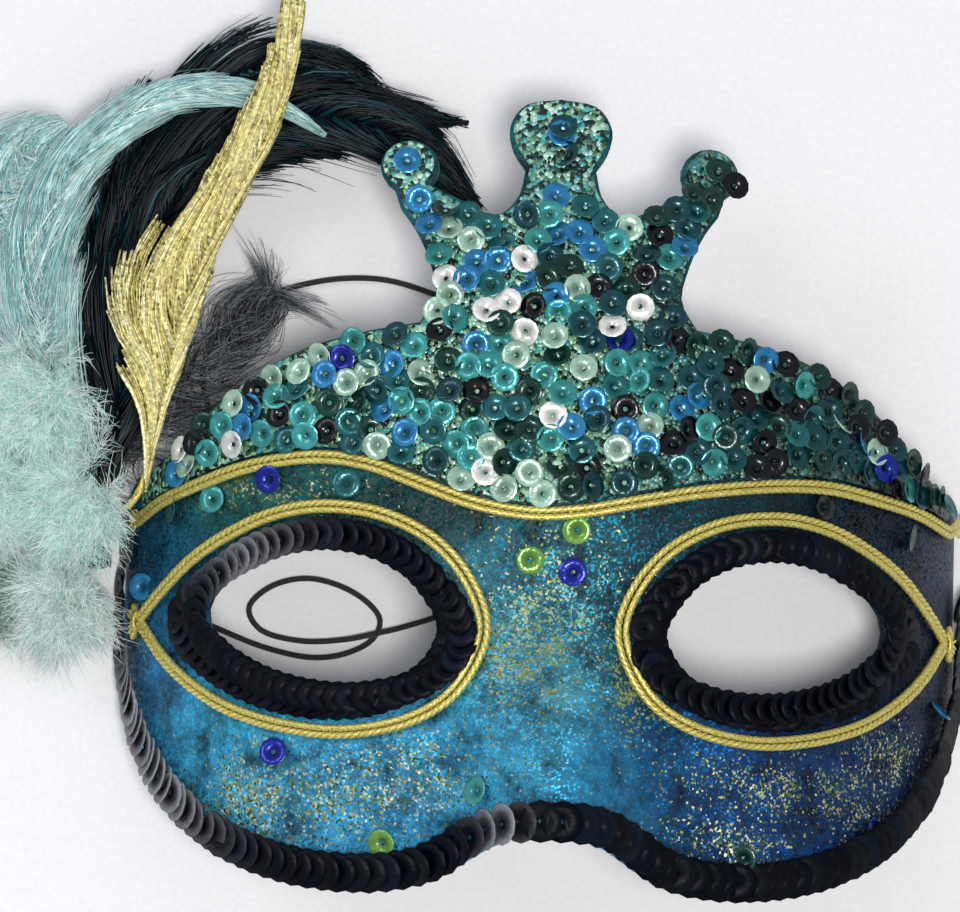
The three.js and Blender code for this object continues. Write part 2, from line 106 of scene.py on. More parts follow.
# %% Colour and node helpers
def linear(code):
    parts = [int(code[i:i + 2], 16) / 255 for i in (1, 3, 5)]
    light = [c / 12.92 if c <= 0.04045 else ((c + 0.055) / 1.055) ** 2.4 for c in parts]
    return (*light, 1.0)


def put(tree, kind, sockets=None, stops=None, **settings):
    made = tree.nodes.new("ShaderNode" + kind)
    for name, value in settings.items():
        setattr(made, name, value)
    for name, value in (sockets or {}).items():
        if isinstance(value, bpy.types.NodeSocket):
            tree.links.new(value, made.inputs[name])
        else:
            made.inputs[name].default_value = value
    for i, (place, code) in enumerate(stops or ()):
        ramp = made.color_ramp.elements
        element = ramp[i] if i < len(ramp) else ramp.new(place)
        element.position = place
        element.color = linear(code)
    return made


def new_material(name, **surface):
    """A material with its fixed settings, its node tree, and a way to feed its sockets."""
    material = bpy.data.materials.new(name)
    material.use_nodes = True
    tree = material.node_tree
    shader = tree.nodes["Principled BSDF"]
    for socket, value in surface.items():
        shader.inputs[socket.replace("_", " ")].default_value = value

    def feed(socket, output):
        tree.links.new(output, shader.inputs[socket])

    return material, tree, feed


# Millimetre coordinates of the object itself, centred on the mask.
def mask_millimetres(tree):
    place = put(tree, "TexCoord")
    return put(tree, "Mapping", {
        "Vector": place.outputs["Object"],
        "Location": (-MASK_X, -MASK_Y, 0.0),
        "Scale": (1 / MM, 1 / MM, 1 / MM),
    }).outputs["Vector"]


# %% Short forms of the nodes that most materials share
MIX_FACTOR, MIX_A, MIX_B, MIX_OUT = 0, 6, 7, 2        # the mix node's colour sockets


def noise(tree, spot, scale, detail, **more):
    sockets = {"Vector": spot, "Scale": scale, "Detail": detail, **more}
    return put(tree, "TexNoise", sockets).outputs["Fac"]


def attribute(tree, name, output="Color"):
    return put(tree, "Attribute", attribute_name=name).outputs[output]


def tone(tree, factor, stops):
    return put(tree, "ValToRGB", {"Fac": factor}, stops=stops).outputs["Color"]


def mapped(tree, value, low, high, to_low, to_high):
    return put(tree, "MapRange", {
        "Value": value, "From Min": low, "From Max": high, "To Min": to_low, "To Max": to_high,
    }).outputs["Result"]


def scaled(tree, colour, amount):
    return put(tree, "VectorMath", {0: colour, "Scale": amount}, operation="SCALE").outputs[0]


def calculated(tree, operation, first, second):
    return put(tree, "Math", {0: first, 1: second}, operation=operation).outputs[0]


def mixed(tree, factor, a, b):
    sockets = {MIX_FACTOR: factor, MIX_A: a, MIX_B: b}
    return put(tree, "Mix", sockets, data_type="RGBA").outputs[MIX_OUT]


def bump(tree, height, strength, mm, invert=False):
    sockets = {"Height": height, "Strength": strength, "Distance": mm * MM}
    return put(tree, "Bump", sockets, invert=invert).outputs["Normal"]


print("glitter blue in linear light:", [round(c, 3) for c in linear("#3f9fc4")])

# %% [markdown]
# ## Meshes and tubes
# Cord, braid and feather barbs are all long round things that follow a line. One helper builds any
# number of closed tubes at once from their centre lines, which is far quicker than a curve object
# for each of many thousand barbs, and another makes a mesh piece and says which body it rides on.


# %% Mesh helpers
def only(piece):
    bpy.ops.object.select_all(action="DESELECT")
    piece.select_set(True)
    bpy.context.view_layer.objects.active = piece


def mesh_points(mesh):
    flat_list = np.empty(len(mesh.vertices) * 3)
    mesh.vertices.foreach_get("co", flat_list)
    return flat_list.reshape(-1, 3)


def paint_points(mesh, name, colours):
    """A colour for each point, from (n, 3) colours or from n grey levels."""
    if colours.ndim == 1:
        colours = np.c_[colours, colours, colours]
    layer = mesh.color_attributes.new(name, "FLOAT_COLOR", "POINT")
    rgba = np.c_[colours, np.ones(len(colours))]
    layer.data.foreach_set("color", rgba.astype(np.float32).ravel())


def dress(piece, body, material, slot_name, *nodes):
    """Gives a piece its material and body, and hides the CAD nodes it stands for. Its slot name is not
    used.
    """
    piece.data.materials.clear()
    piece.data.materials.append(material)
    piece.data.polygons.foreach_set("use_smooth", [True] * len(piece.data.polygons))
    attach(piece, body)
    if nodes:
        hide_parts(*nodes)


def mesh_piece(name, points, faces, body, material, slot_name, *nodes):
    data = bpy.data.meshes.new(name)
    data.from_pydata(np.asarray(points).tolist(), [], faces)
    data.update()
    piece = bpy.data.objects.new(name, data)
    bpy.context.collection.objects.link(piece)
    dress(piece, body, material, slot_name, *nodes)
    return piece


print("mesh helpers ready")


# %% Tubes
def tubes(lines, radii, sides=3, flatten=1.0, up_way=(0, 0, 1)):
    """Closed tubes along many lines at once: lines is (n, k, 3), radii (n, k) or (n, k, sides)."""
    lines = np.asarray(lines, float)
    n, k, _ = lines.shape
    tangent = np.gradient(lines, axis=1)
    tangent /= np.maximum(np.linalg.norm(tangent, axis=2, keepdims=True), 1e-12)
    reference = np.broadcast_to(np.asarray(up_way, float), tangent.shape)
    side = np.cross(tangent, reference)
    side /= np.maximum(np.linalg.norm(side, axis=2, keepdims=True), 1e-9)
    rise = np.cross(side, tangent)
    angle = 2 * np.pi * np.arange(sides) / sides + np.pi / 2
    radii = np.broadcast_to(radii[..., None] if np.ndim(radii) == 2 else radii, (n, k, sides))
    points = (lines[:, :, None]
              + side[:, :, None] * (np.cos(angle) * radii)[..., None]
              + rise[:, :, None] * (np.sin(angle) * radii * flatten)[..., None])
    ring, j = np.arange(k - 1), np.arange(sides)
    a = (ring[:, None] * sides + j).ravel()
    b = (ring[:, None] * sides + (j + 1) % sides).ravel()
    quads = np.stack([a, b, b + sides, a + sides], axis=1)
    step = k * sides
    walls = (quads[None] + (np.arange(n) * step)[:, None, None]).reshape(-1, 4).tolist()
    root = [[i * step + q for q in range(sides)][::-1] for i in range(n)]
    tip = [[i * step + step - sides + q for q in range(sides)] for i in range(n)]
    return points.reshape(-1, 3), walls + root + tip


def joined(parts):
    """The points and faces of several (points, faces) parts as one mesh."""
    faces, start = [], 0
    for points, part_faces in parts:
        faces += [[i + start for i in face_] for face_ in part_faces]
        start += len(points)
    return np.vstack([points for points, _ in parts]), faces


print("a tube of one line with 3 rings has", len(tubes([[(0, 0, 0), (1, 0, 0), (2, 0, 0)]],
                                                       np.ones((1, 3)))[1]), "faces")

# %% [markdown]
# ## The elastic
# A cord is drawn first, because its length is fixed. It is 1.2 mm round elastic that leaves the knot
# in one temple, drops to the table, makes one loop behind the eye hole, passes behind the nose, shows
# beside the crown and comes back to the other knot. It lies flat and rides over itself in low humps.
# It is a round tube along one smooth line through given points.

# %% The elastic's route, in mask millimetres
ELASTIC = [
    (-74.0, 4.0, 5.8), (-73.2, 2.4, 3.6), (-71.5, 1.2, 1.5), (-67.2, 0.1, 0.7),
    (-55.3, -4.3, 0.65), (-45.3, -6.1, 0.65), (-38.3, -4.9, 0.65), (-33.4, -1.9, 0.65),
    (-32.2, 2, 0.65), (-36.9, 6.8, 0.65), (-46.4, 9.8, 0.65), (-54.4, 7.9, 0.65),
    (-58.6, 3.5, 0.65), (-56.4, -0.6, 0.65), (-48.3, -2.8, 0.75), (-39.5, -2.4, 1.5),
    (-32.9, -1, 2.15), (-26.5, 0.8, 1.3), (-17, 4.6, 0.65), (-6, 13, 0.65), (1.5, 25, 0.65),
    (4, 39, 0.65), (0, 53, 0.65), (-10, 63, 0.65), (-22.2, 68, 0.65), (-34, 71, 0.65),
    (-47.4, 70, 0.65), (-61, 64.5, 0.65), (-69, 54, 0.65), (-67, 42, 0.65), (-55, 33.5, 0.65),
    (-38, 30, 0.65), (-18, 31, 0.8), (-5, 32, 1.6), (3.4, 32.4, 2.15), (12, 32.6, 1.5),
    (25, 32.6, 0.7), (43, 32, 0.65), (59, 28.5, 0.65), (71, 20.5, 0.65), (75.2, 14, 1.3),
    (75.2, 10.6, 3.6), (74.9, 8.4, 5.6),
]
ELASTIC_DIAMETER = 1.2
print("points on the route:", len(ELASTIC))


# %% A smooth line through points
def smooth_line(points, count, closed=False):
    """A centripetal Catmull-Rom curve through the points, evenly spaced along its length."""
    p = np.asarray(points, float)
    if closed:
        p = np.vstack([p[-1], p, p[0], p[1]])
    else:
        p = np.vstack([2 * p[0] - p[1], p, 2 * p[-1] - p[-2]])
    fine = []
    for i in range(1, len(p) - 2):
        a, b, c, d = p[i - 1:i + 3]
        t1 = max(np.linalg.norm(b - a), 1e-6) ** 0.5
        t2 = t1 + max(np.linalg.norm(c - b), 1e-6) ** 0.5
        t3 = t2 + max(np.linalg.norm(d - c), 1e-6) ** 0.5
        t = np.linspace(t1, t2, 17)[:-1, None]
        ab = a * (t1 - t) / t1 + b * t / t1
        bc = b * (t2 - t) / (t2 - t1) + c * (t - t1) / (t2 - t1)
        cd = c * (t3 - t) / (t3 - t2) + d * (t - t2) / (t3 - t2)
        abc = ab * (t2 - t) / t2 + bc * t / t2
        bcd = bc * (t3 - t) / (t3 - t1) + cd * (t - t1) / (t3 - t1)
        fine.append(abc * (t2 - t) / (t2 - t1) + bcd * (t - t1) / (t2 - t1))
    fine.append(p[-2][None] if not closed else p[1][None])
    line = np.vstack(fine)
    run = np.concatenate([[0], np.cumsum(np.linalg.norm(np.diff(line, axis=0), axis=1))])
    at = np.linspace(0, run[-1], count + 1)
    return np.stack([np.interp(at, run, line[:, k]) for k in range(line.shape[1])], axis=1)


def length_of(points):
    return float(np.linalg.norm(np.diff(points, axis=0), axis=1).sum())


print("route length, mm:", round(length_of(smooth_line(ELASTIC, 420)), 1))

# %% Braided elastic
elastic_fabric, tree, feed = new_material("braided rayon over rubber", Roughness=0.75,
                                          Sheen_Weight=0.2)
# The braid is a pattern of small cells, lighter in their middles and darker in the gaps, as painted
# shade.
plait = put(tree, "TexVoronoi", {"Vector": mask_millimetres(tree), "Scale": 2.5}).outputs["Distance"]
feed("Base Color", tone(tree, plait, [(0.1, "#2c2c30"), (0.6, "#0c0c0e")]))
feed("Normal", bump(tree, plait, 0.6, 0.2, invert=True))
print("elastic material:", elastic_fabric.name)

# %% The elastic itself
elastic_line = to_frame(smooth_line(ELASTIC, 420))
elastic_radii = np.full((1, len(elastic_line)), ELASTIC_DIAMETER / 2 * MM)
elastic = mesh_piece("elastic", *tubes(elastic_line[None], elastic_radii, 10), "mask",
                     elastic_fabric, "elastic", "elastic_cord")
print("elastic measures", round(length_of(elastic_line), 4), "m")

# %% [markdown]
# ## Floor and light
# The mask is shown on a plain pale table. The key lamp stands nearly overhead, so its light falls
# through the eye holes on the table, a weaker one at the left gives the sequins a second highlight,
# and a pale world keeps the shadows soft.

# %% Floor and lights
bpy.ops.object.select_all(action="DESELECT")
bpy.ops.mesh.primitive_plane_add(size=3.0, location=(0, 0, -0.0002))
floor = bpy.context.object
floor.name = "floor"
paper, tree, feed = new_material("matt pale table", Roughness=0.9)
grain = noise(tree, mask_millimetres(tree), 0.9, 3.0)
feed("Base Color", tone(tree, grain, [(0.3, "#eaeaed"), (0.7, "#f0f0f2")]))
floor.data.materials.append(paper)

LAMPS = [                                     # name, place from the mask in metres, size, watts, tint
    ("key", (0.05, -0.2, 1.2), 0.2, 9.4, "#fffcf8"),
    ("window", (-0.75, 0.35, 0.75), 0.35, 2.2, "#f4f6ff"),
]
for name, place, size, watts, tint in LAMPS:
    lamp = bpy.data.objects.new(name, bpy.data.lights.new(name, "AREA"))
    lamp.data.size = size
    lamp.data.energy = watts
    lamp.data.color = linear(tint)[:3]
    lamp.location = Vector(place)
    lamp.rotation_euler = (Vector((0, 0, 0.03)) - lamp.location).to_track_quat("-Z", "Y").to_euler()
    bpy.context.collection.objects.link(lamp)

world = bpy.data.worlds.new("pale room")
world.use_nodes = True
world.node_tree.nodes["Background"].inputs["Color"].default_value = linear("#e9edf2")
world.node_tree.nodes["Background"].inputs["Strength"].default_value = 0.5
bpy.context.scene.world = world
bpy.context.scene.view_settings.view_transform = "Standard"
print("lamps:", ", ".join(name for name, *_ in LAMPS))

# %% [markdown]
# ## The form of the face
# A mask is made by pressing a soft sheet over a mould. The mould here is a function: pattern
# coordinates u (round the head), v (up) and w (outwards) give a place on the face. Pieces are cut
# flat, as felt and cloth are, and then pressed over it, so all the layers follow one another.

# %% The mould
ARC = 74.0                                    # pattern millimetres for one radian round the head
HALF_WIDTH = 84.0
FACE_DEPTH, TEMPLE_CUT = 64.0, 6.0
FOREHEAD_SLOPE, FOREHEAD_FROM, FOREHEAD_SOFT = 0.32, 48.0, 22.0
CHEEK_SLOPE, CHEEK_FROM, CHEEK_SOFT = 0.4, 40.0, 15.0
NOSE_RISE, NOSE_HALF, NOSE_TOP, NOSE_RUN = 15.0, 10.0, 5.0, 50.0
EYE_X, EYE_RECESS, EYE_ACROSS, EYE_UP = 42.0, 3.0, 648.0, 288.0


def ramp(t, soft):
    return (t + np.hypot(t, soft)) / 2


def face(u, v):
    u, v = np.broadcast_arrays(np.asarray(u, float), np.asarray(v, float))
    x = HALF_WIDTH * np.sin(u / ARC)
    fall = FOREHEAD_SLOPE * ramp(v - FOREHEAD_FROM, FOREHEAD_SOFT)
    fall = fall + CHEEK_SLOPE * ramp(-v - CHEEK_FROM, CHEEK_SOFT)
    z = np.cos(u / ARC) * (FACE_DEPTH - fall) - TEMPLE_CUT
    s = np.clip((NOSE_TOP - v) / NOSE_RUN, 0, 1)
    z = z + NOSE_RISE * s * s * (3 - 2 * s) * np.exp(-x ** 2 / (2 * NOSE_HALF ** 2))
    for eye in (-EYE_X, EYE_X):
        z = z - EYE_RECESS * np.exp(-((x - eye) ** 2 / EYE_ACROSS + v ** 2 / EYE_UP))
    return np.stack([x, v, z], axis=-1)


def outward(u, v, step=0.5):
    across = face(u + step, v) - face(u - step, v)
    upward = face(u, v + step) - face(u, v - step)
    normal = np.cross(across, upward)
    return normal / np.linalg.norm(normal, axis=-1, keepdims=True)


def form(u, v, w):
    u, v = np.asarray(u, float), np.asarray(v, float)
    return to_frame(face(u, v) + outward(u, v) * np.asarray(w, float)[..., None])


print("brow above the table, mm:", round(float(face(0, 25)[2]), 1))

# %% [markdown]
# ## The pattern outlines
# These are the cutting lines of the flat pattern, in millimetres: half the mask's edge, the crown's
# prongs, the eye holes, and the lines that braid and strung spangles are glued along.

# %% Outlines
TEMPLE_U = 111.0
CHEEK = [
    (0, -42.3), (7, -43.2), (12, -46), (16.5, -49.3), (23, -51.3), (31, -52.3), (43, -51.6),
    (56, -48.2), (69, -42.3), (82, -33.8), (93, -23.5), (102, -13.5), (TEMPLE_U, -6),
]
DOME = [
    (TEMPLE_U, 24), (103, 26), (96, 28), (88, 29.5), (80, 32), (72, 36.6), (65, 41.3),
    (57, 46), (46, 51), (35, 54), (24, 56),
]
PRONG_SIDE = [(24, 56), (21.2, 61.5), (22.4, 68), (25.2, 75), (29.2, 81)]
PRONG_TIP = (26.5, 87.8, 5.3, -1.05, 3.9)     # middle, radius, first and last angle
VALLEY = [(22.6, 84), (17, 80.6), (10.8, 77.8), (7.3, 81.5), (6, 87.5)]
KNOB = [(6, 87.5), (8.2, 91.5), (8.8, 96), (6.2, 100.6), (0, CROWN_TIP)]
EYE_HOLE = [
    (17, -5), (19.4, -9.8), (26, -13.2), (35.5, -14.6), (47, -12.8), (58, -8), (66.8, 0),
    (61, 6), (52, 10.6), (40, 12.8), (29, 10.4), (21, 3.4),
]
EYE_TRIM = [
    (13.4, -2.6), (14.8, -9.2), (18.8, -15), (25.2, -18.9), (35, -21.2), (47, -20.3), (58, -17),
    (67, -12.6), (75, -7), (78.5, -1.2), (75.5, 4.2), (67, 9.4), (58.5, 13.6), (49.5, 16.9),
    (40, 18.1), (29.8, 16.3), (21.6, 11.6), (16.2, 4.8),
]
EYE_BRAID = [
    (87.8, -2.4), (80, -8), (70.8, -13.6), (59.5, -18.9), (46.5, -22.3), (35, -23.2),
    (24, -20.9), (17, -16.5), (12.8, -9.7), (11.4, -2.6), (14.3, 6.2), (20, 13.4), (28.9, 18.4),
    (40, 20.2), (50, 19), (60, 15.6), (70.5, 10.8), (80, 5.2), (87.8, 0.8),
]
BROW_BRAID = [
    (-92, 19.5), (-82, 22.3), (-70.8, 24.9), (-55, 28.4), (-42, 29.6), (-32.4, 28.2),
    (-21.6, 23.9), (-13, 20.6), (-4, 19), (4, 19.6), (14, 21.9), (25, 24.4), (40, 26.5),
    (51, 26.8), (62, 25.6), (76, 23.9), (92, 21.6),
]
LOWER_EDGE = [
    (0, -39.8), (8, -40.6), (13, -43.2), (18, -46.6), (23.5, -48.5), (31, -49.4), (42.5, -48.6),
    (55, -45.3), (67, -39.8), (79, -31.6), (88.5, -22.6), (97, -12.5), (101.5, -3), (103, 8),
]
SHELL, LINING, CLOTH = 1.8, 0.8, 0.7          # thicknesses of the sheets
CLOTH_TOP, LINING_TOP = 1.2, -2.7             # how far out their faces lie
BRAID_LOW = 0.5
HEM = 2.0                                     # from the brow braid's middle up to the cloth's hem


print("eye hole, mm across:", max(u for u, _ in EYE_HOLE) - min(u for u, _ in EYE_HOLE))


# %% Work with outlines
def mirrored(points):
    return [(-u, v) for u, v in points][::-1]


def on_side(side, points):
    return list(points) if side > 0 else mirrored(points)


def offset(points, distance, closed=False):
    """An outline moved to the left of the way it runs."""
    p = np.asarray(points, float)
    if closed:
        along = np.roll(p, -1, axis=0) - np.roll(p, 1, axis=0)
    else:
        along = np.vstack([p[1:], p[-1:]]) - np.vstack([p[:1], p[:-1]])
    along = along / np.linalg.norm(along, axis=1, keepdims=True)
    return p + np.c_[-along[:, 1], along[:, 0]] * distance


def mask_outline():
    u, v, radius, first, last = PRONG_TIP
    angle = np.linspace(first, last, 16)
    tip = np.c_[u + radius * np.cos(angle), v + radius * np.sin(angle)]
    right = np.vstack([
        smooth_line(CHEEK, 60), smooth_line(DOME, 44), smooth_line(PRONG_SIDE, 12)[1:-1], tip,
        smooth_line(VALLEY, 14)[:-1], smooth_line(KNOB, 14),
    ])
    return np.vstack([right, (right * (-1, 1))[::-1][1:-1]])


def eye_hole(side, grow):
    return offset(smooth_line(on_side(side, EYE_HOLE), 60, closed=True)[:-1], -grow, closed=True)


def brow_height(u, lift):
    hem = offset(smooth_line(BROW_BRAID, 120), lift)
    return np.interp(u, hem[:, 0], hem[:, 1])


print("outline points:", len(mask_outline()))

# %% [markdown]
# ## Cutting and pressing sheets
# The shell, the felt lining and the sequin cloth are sheet goods. Each outline is drawn as a filled
# 2-D curve and made a mesh. Bisect cuts then score it with a grid, so that it can bend, it is
# pressed over the mould point by point, and Solidify gives it its thickness.


# %% Sheet helpers
def finish_modifier(piece, kind, **settings):
    only(piece)
    modifier = piece.modifiers.new(kind.lower(), kind)
    for name, value in settings.items():
        setattr(modifier, name, value)
    bpy.ops.object.modifier_apply(modifier=modifier.name)


def cut_sheet(name, outline, holes, cell):
    data = bpy.data.curves.new(name, "CURVE")
    data.dimensions, data.fill_mode = "2D", "BOTH"
    for line in (outline, *holes):
        spline = data.splines.new("POLY")
        spline.points.add(len(line) - 1)
        spline.points.foreach_set("co", np.c_[line, np.zeros(len(line)), np.ones(len(line))].ravel())
        spline.use_cyclic_u = True
    sheet = bpy.data.objects.new(name, data)
    bpy.context.collection.objects.link(sheet)
    only(sheet)
    bpy.ops.object.convert(target="MESH")
    sheet = bpy.context.object
    low, high = np.min(outline, axis=0), np.max(outline, axis=0)
    bpy.ops.object.mode_set(mode="EDIT")
    for axis, normal in ((0, (1, 0, 0)), (1, (0, 1, 0))):
        for at in np.arange(low[axis] + cell / 2, high[axis], cell):
            point = (at, 0, 0) if axis == 0 else (0, at, 0)
            bpy.ops.mesh.select_all(action="SELECT")
            bpy.ops.mesh.bisect(plane_co=point, plane_no=normal)
    bpy.ops.mesh.select_all(action="SELECT")
    bpy.ops.mesh.remove_doubles(threshold=0.05)
    bpy.ops.mesh.tris_convert_to_quads()
    bpy.ops.object.mode_set(mode="OBJECT")
    return sheet


print("sheets are scored and cut")


# %% Press a sheet over the mould
def press(sheet, top, thickness):
    """Presses a flat sheet over the mould, and gives it its thickness inwards from its top."""
    flat_points = mesh_points(sheet.data)
    formed = form(flat_points[:, 0], flat_points[:, 1], np.full(len(flat_points), top))
    sheet.data.vertices.foreach_set("co", formed.ravel())
    sheet.data.update()
    area = sum(face_.area for face_ in sheet.data.polygons)
    finish_modifier(sheet, "SOLIDIFY", thickness=thickness * MM, offset=-1.0)
    return area


print("sheets are pressed over the mould, and given their thickness inwards")

# %% [markdown]
# ## Glitter paint
# The cheeks and nose are airbrushed in water colours, cyan on the left and deep blue on the right,
# and dusted with polyester glitter while wet. The deep blue on the right is partly the paint's own
# colour and partly painted shade, as if the light came from the left. The airbrushing is a colour
# for each point of the sheet, blended between zones. The glitter is a Voronoi pattern with cells of
# half a millimetre: each cell is one flake, with its own tilt, so some catch the lamp and most do not.

# %% Airbrush and painted shade zones: u, v, how wide, how tall, colour
PAINT_AND_SHADE_ZONES = [
    (-62, -34, 26, 16, "#2f9cc4"), (-30, -38, 20, 12, "#2a86b4"), (-90, -4, 16, 22, "#1a6c9c"),
    (-10, -30, 9, 14, "#2f9cc4"), (-2, -14, 8, 16, "#3f8fa8"), (0, 8, 12, 12, "#1f6c80"),
    (-58, 23, 20, 6, "#125a58"), (8, -34, 7, 10, "#2a86b4"), (18, -30, 8, 12, "#104a74"),
    # The dark navy zones right of the nose are partly painted shade, as if the light came from the
    # left.
    (42, -34, 16, 10, "#0e3a6c"), (66, -26, 16, 12, "#082a52"), (86, -10, 14, 14, "#04182e"),
    (96, 12, 18, 18, "#06203c"), (46, 22, 34, 6, "#030a1c"), (15, 4, 6, 14, "#040e26"),
    (-24, 21, 20, 6, "#03201a"), (-84, 12, 12, 8, "#0e4a5c"),
    (100, 30, 20, 20, "#06203c"), (0, 60, 60, 30, "#17606a"),
]
GLITTER_ZONES = [                             # where the pale green-gold flakes lie thickest
    (-50, -33, 22, 9), (-22, -32, 13, 9), (-56, -42, 16, 6), (-2, 2, 10, 16), (-6, -12, 8, 8),
    (42, -31, 20, 5), (70, -24, 10, 5), (-60, 24, 22, 4), (14, -14, 5, 10), (30, -43, 14, 5),
    (-94, -2, 6, 14), (66, -38, 14, 4),
]


def zone_blend(u, v, zones):
    weights = np.stack([bell(u, v, zone) + 1e-9 for zone in zones])
    colours = np.array([linear(zone[4])[:3] for zone in zones])
    return (weights[..., None] * colours[:, None, :]).sum(0) / weights.sum(0)[..., None]


def bell(u, v, zone):
    """One in a zone's middle, and falling off as a bell does."""
    return np.exp(-((u - zone[0]) / zone[2]) ** 2 - ((v - zone[1]) / zone[3]) ** 2)


def zone_cover(u, v, zones):
    return np.clip(sum(bell(u, v, zone) for zone in zones), 0, 1)


def flake_normal(tree, cells, tilt):
    """The surface's direction, tipped by a different amount in each flake."""
    surface = put(tree, "NewGeometry")
    centred = put(tree, "VectorMath", {0: cells, 1: (0.5, 0.5, 0.5)}, operation="SUBTRACT")
    tipped = scaled(tree, centred.outputs[0], tilt)
    added = put(tree, "VectorMath", {0: surface.outputs["Normal"], 1: tipped})
    return put(tree, "VectorMath", {0: added.outputs[0]}, operation="NORMALIZE").outputs[0]


def cells(tree, spot, width):
    """Voronoi cells of a width in mm: the pattern, and three random numbers for each cell."""
    pattern = put(tree, "TexVoronoi", {"Vector": spot, "Scale": 1 / width})
    return pattern, put(tree, "SeparateColor", {"Color": pattern.outputs["Color"]}).outputs


print("airbrush zones:", len(PAINT_AND_SHADE_ZONES))


# %% Glitter paint on moulded plastic
FLAKE = 0.42                                  # width of one flake, mm
GLEAM = 2.4                                   # how much brighter a flake in the paint's colour is
painted, tree, feed = new_material("airbrushed acrylic with polyester glitter",
                                   Roughness=0.5, Specular_IOR_Level=0.3)
spot = mask_millimetres(tree)
flakes, lot = cells(tree, spot, FLAKE)
# Each point's airbrushed colour, darker on the right partly as painted shade.
airbrush_and_shade = attribute(tree, "paint")
dusting = attribute(tree, "dust", "Fac")
# The paint is cloudy, and the glitter is thick where the paint is light.
drift = noise(tree, spot, 0.11, 7.0, Roughness=0.78)
mottle = mapped(tree, drift, 0.36, 0.66, 0.1, 1.15)
shaded = scaled(tree, airbrush_and_shade, mottle)
amount = calculated(tree, "MULTIPLY", dusting, mottle)
chance = mapped(tree, amount, 0.0, 1.0, 0.28, 0.75)
is_flake = calculated(tree, "LESS_THAN", lot["Red"], chance)
gold_flake = tone(tree, lot["Green"], [
    (0.0, "#3f5f2c"), (0.35, "#7f9250"), (0.65, "#b9b878"), (0.88, "#e0e2c4"), (1.0, "#3f9fb0")])
tinted = scaled(tree, shaded, GLEAM)
is_gold = calculated(tree, "LESS_THAN", lot["Blue"], amount)
flake_mix = mixed(tree, is_gold, tinted, gold_flake)
feed("Base Color", mixed(tree, is_flake, shaded, flake_mix))
feed("Metallic", is_flake)
feed("Normal", flake_normal(tree, flakes.outputs["Color"], 0.55))
print("flake width, mm:", FLAKE)

# %% The moulded shell
holes = [eye_hole(side, 1.4) for side in (-1, 1)]
shell = cut_sheet("moulded_shell", mask_outline(), holes, 3.0)
press(shell, 0.0, SHELL)
only(shell)
bpy.ops.object.mode_set(mode="EDIT")
bpy.ops.mesh.select_all(action="SELECT")
bpy.ops.mesh.bisect(plane_co=(0, 0, 0), plane_no=(0, 0, 1), clear_inner=True, use_fill=True)
bpy.ops.object.mode_set(mode="OBJECT")


# Works back from a place on the face to its pattern coordinates.
def pattern_of(points):
    mm = points / MM - (MASK_X, MASK_Y, 0)
    return ARC * np.arcsin(np.clip(mm[:, 0] / HALF_WIDTH, -1, 1)), mm[:, 1]


shell_u, shell_v = pattern_of(mesh_points(shell.data))
paint_points(shell.data, "paint", zone_blend(shell_u, shell_v, PAINT_AND_SHADE_ZONES))
dust = zone_cover(shell_u, shell_v, GLITTER_ZONES)
paint_points(shell.data, "dust", dust)
dress(shell, "mask", painted, "painted_shell", "mask_shell")
print("shell faces:", len(shell.data.polygons))

# %% [markdown]
# ## Felt lining and sequin ground cloth
# The inside is lined with dark craft felt, glued only along its edges. The forehead and the crown
# carry a stiff cloth that is crusted with seed glitter, and that is what shows between the sequins.

# %% Felt
felt, tree, feed = new_material("needle-punched craft felt", Roughness=0.95, Sheen_Weight=0.3)
FIBRE = 0.7                                   # matted fibres, drawn coarse enough to show
matting = noise(tree, mask_millimetres(tree), 1 / FIBRE, 5.0, Roughness=0.75, Distortion=1.2)
feed("Base Color", tone(tree, matting, [(0.3, "#14171d"), (0.6, "#242932"), (0.8, "#3a414d")]))
feed("Normal", bump(tree, matting, 0.6, 0.3))
print("felt material:", felt.name)

# %% Lining
LINING_U = 103.0
cheek = [p for p in offset(smooth_line(CHEEK, 40), 3) if 0 < p[0] < LINING_U]
dome_line = [p for p in offset(smooth_line(DOME, 26), 3) if p[0] < LINING_U]
lining_half = np.array([(0, -39.2), *cheek, *dome_line, (12, 54.5)])
lining_outline = np.vstack([lining_half, (lining_half * (-1, 1))[::-1][:-1]])
lining_holes = [eye_hole(side, 3.2) for side in (-1, 1)]
lining = cut_sheet("felt_lining_sheet", lining_outline, lining_holes, 4.0)
lining_area = press(lining, LINING_TOP, LINING)
dress(lining, "mask", felt, "felt", "felt_lining")

# %% Ground cloth
BEAD = 0.85                                   # one seed of glitter, mm
ground, tree, feed = new_material("seed-glittered ground cloth", Roughness=0.35, Metallic=0.25)
beads, lot = cells(tree, mask_millimetres(tree), BEAD)
seed_colour = tone(tree, lot["Red"], [
    (0.0, "#020c0c"), (0.3, "#12403c"), (0.55, "#8aa884"), (0.75, "#e8ecdc"), (0.9, "#58aeb4")])
# The zone's colour filters the seeds, and a little plain seed still shows in the darkest zone.
lifted = put(tree, "VectorMath", {
    0: attribute(tree, "ground"), 1: (2.2, 2.2, 2.2), 2: (0.08, 0.08, 0.08)}, operation="MULTIPLY_ADD")
seeded = put(tree, "VectorMath", {0: seed_colour, 1: lifted.outputs[0]}, operation="MULTIPLY")
feed("Base Color", seeded.outputs[0])
feed("Normal", bump(tree, beads.outputs["Distance"], 0.8, 0.5, invert=True))

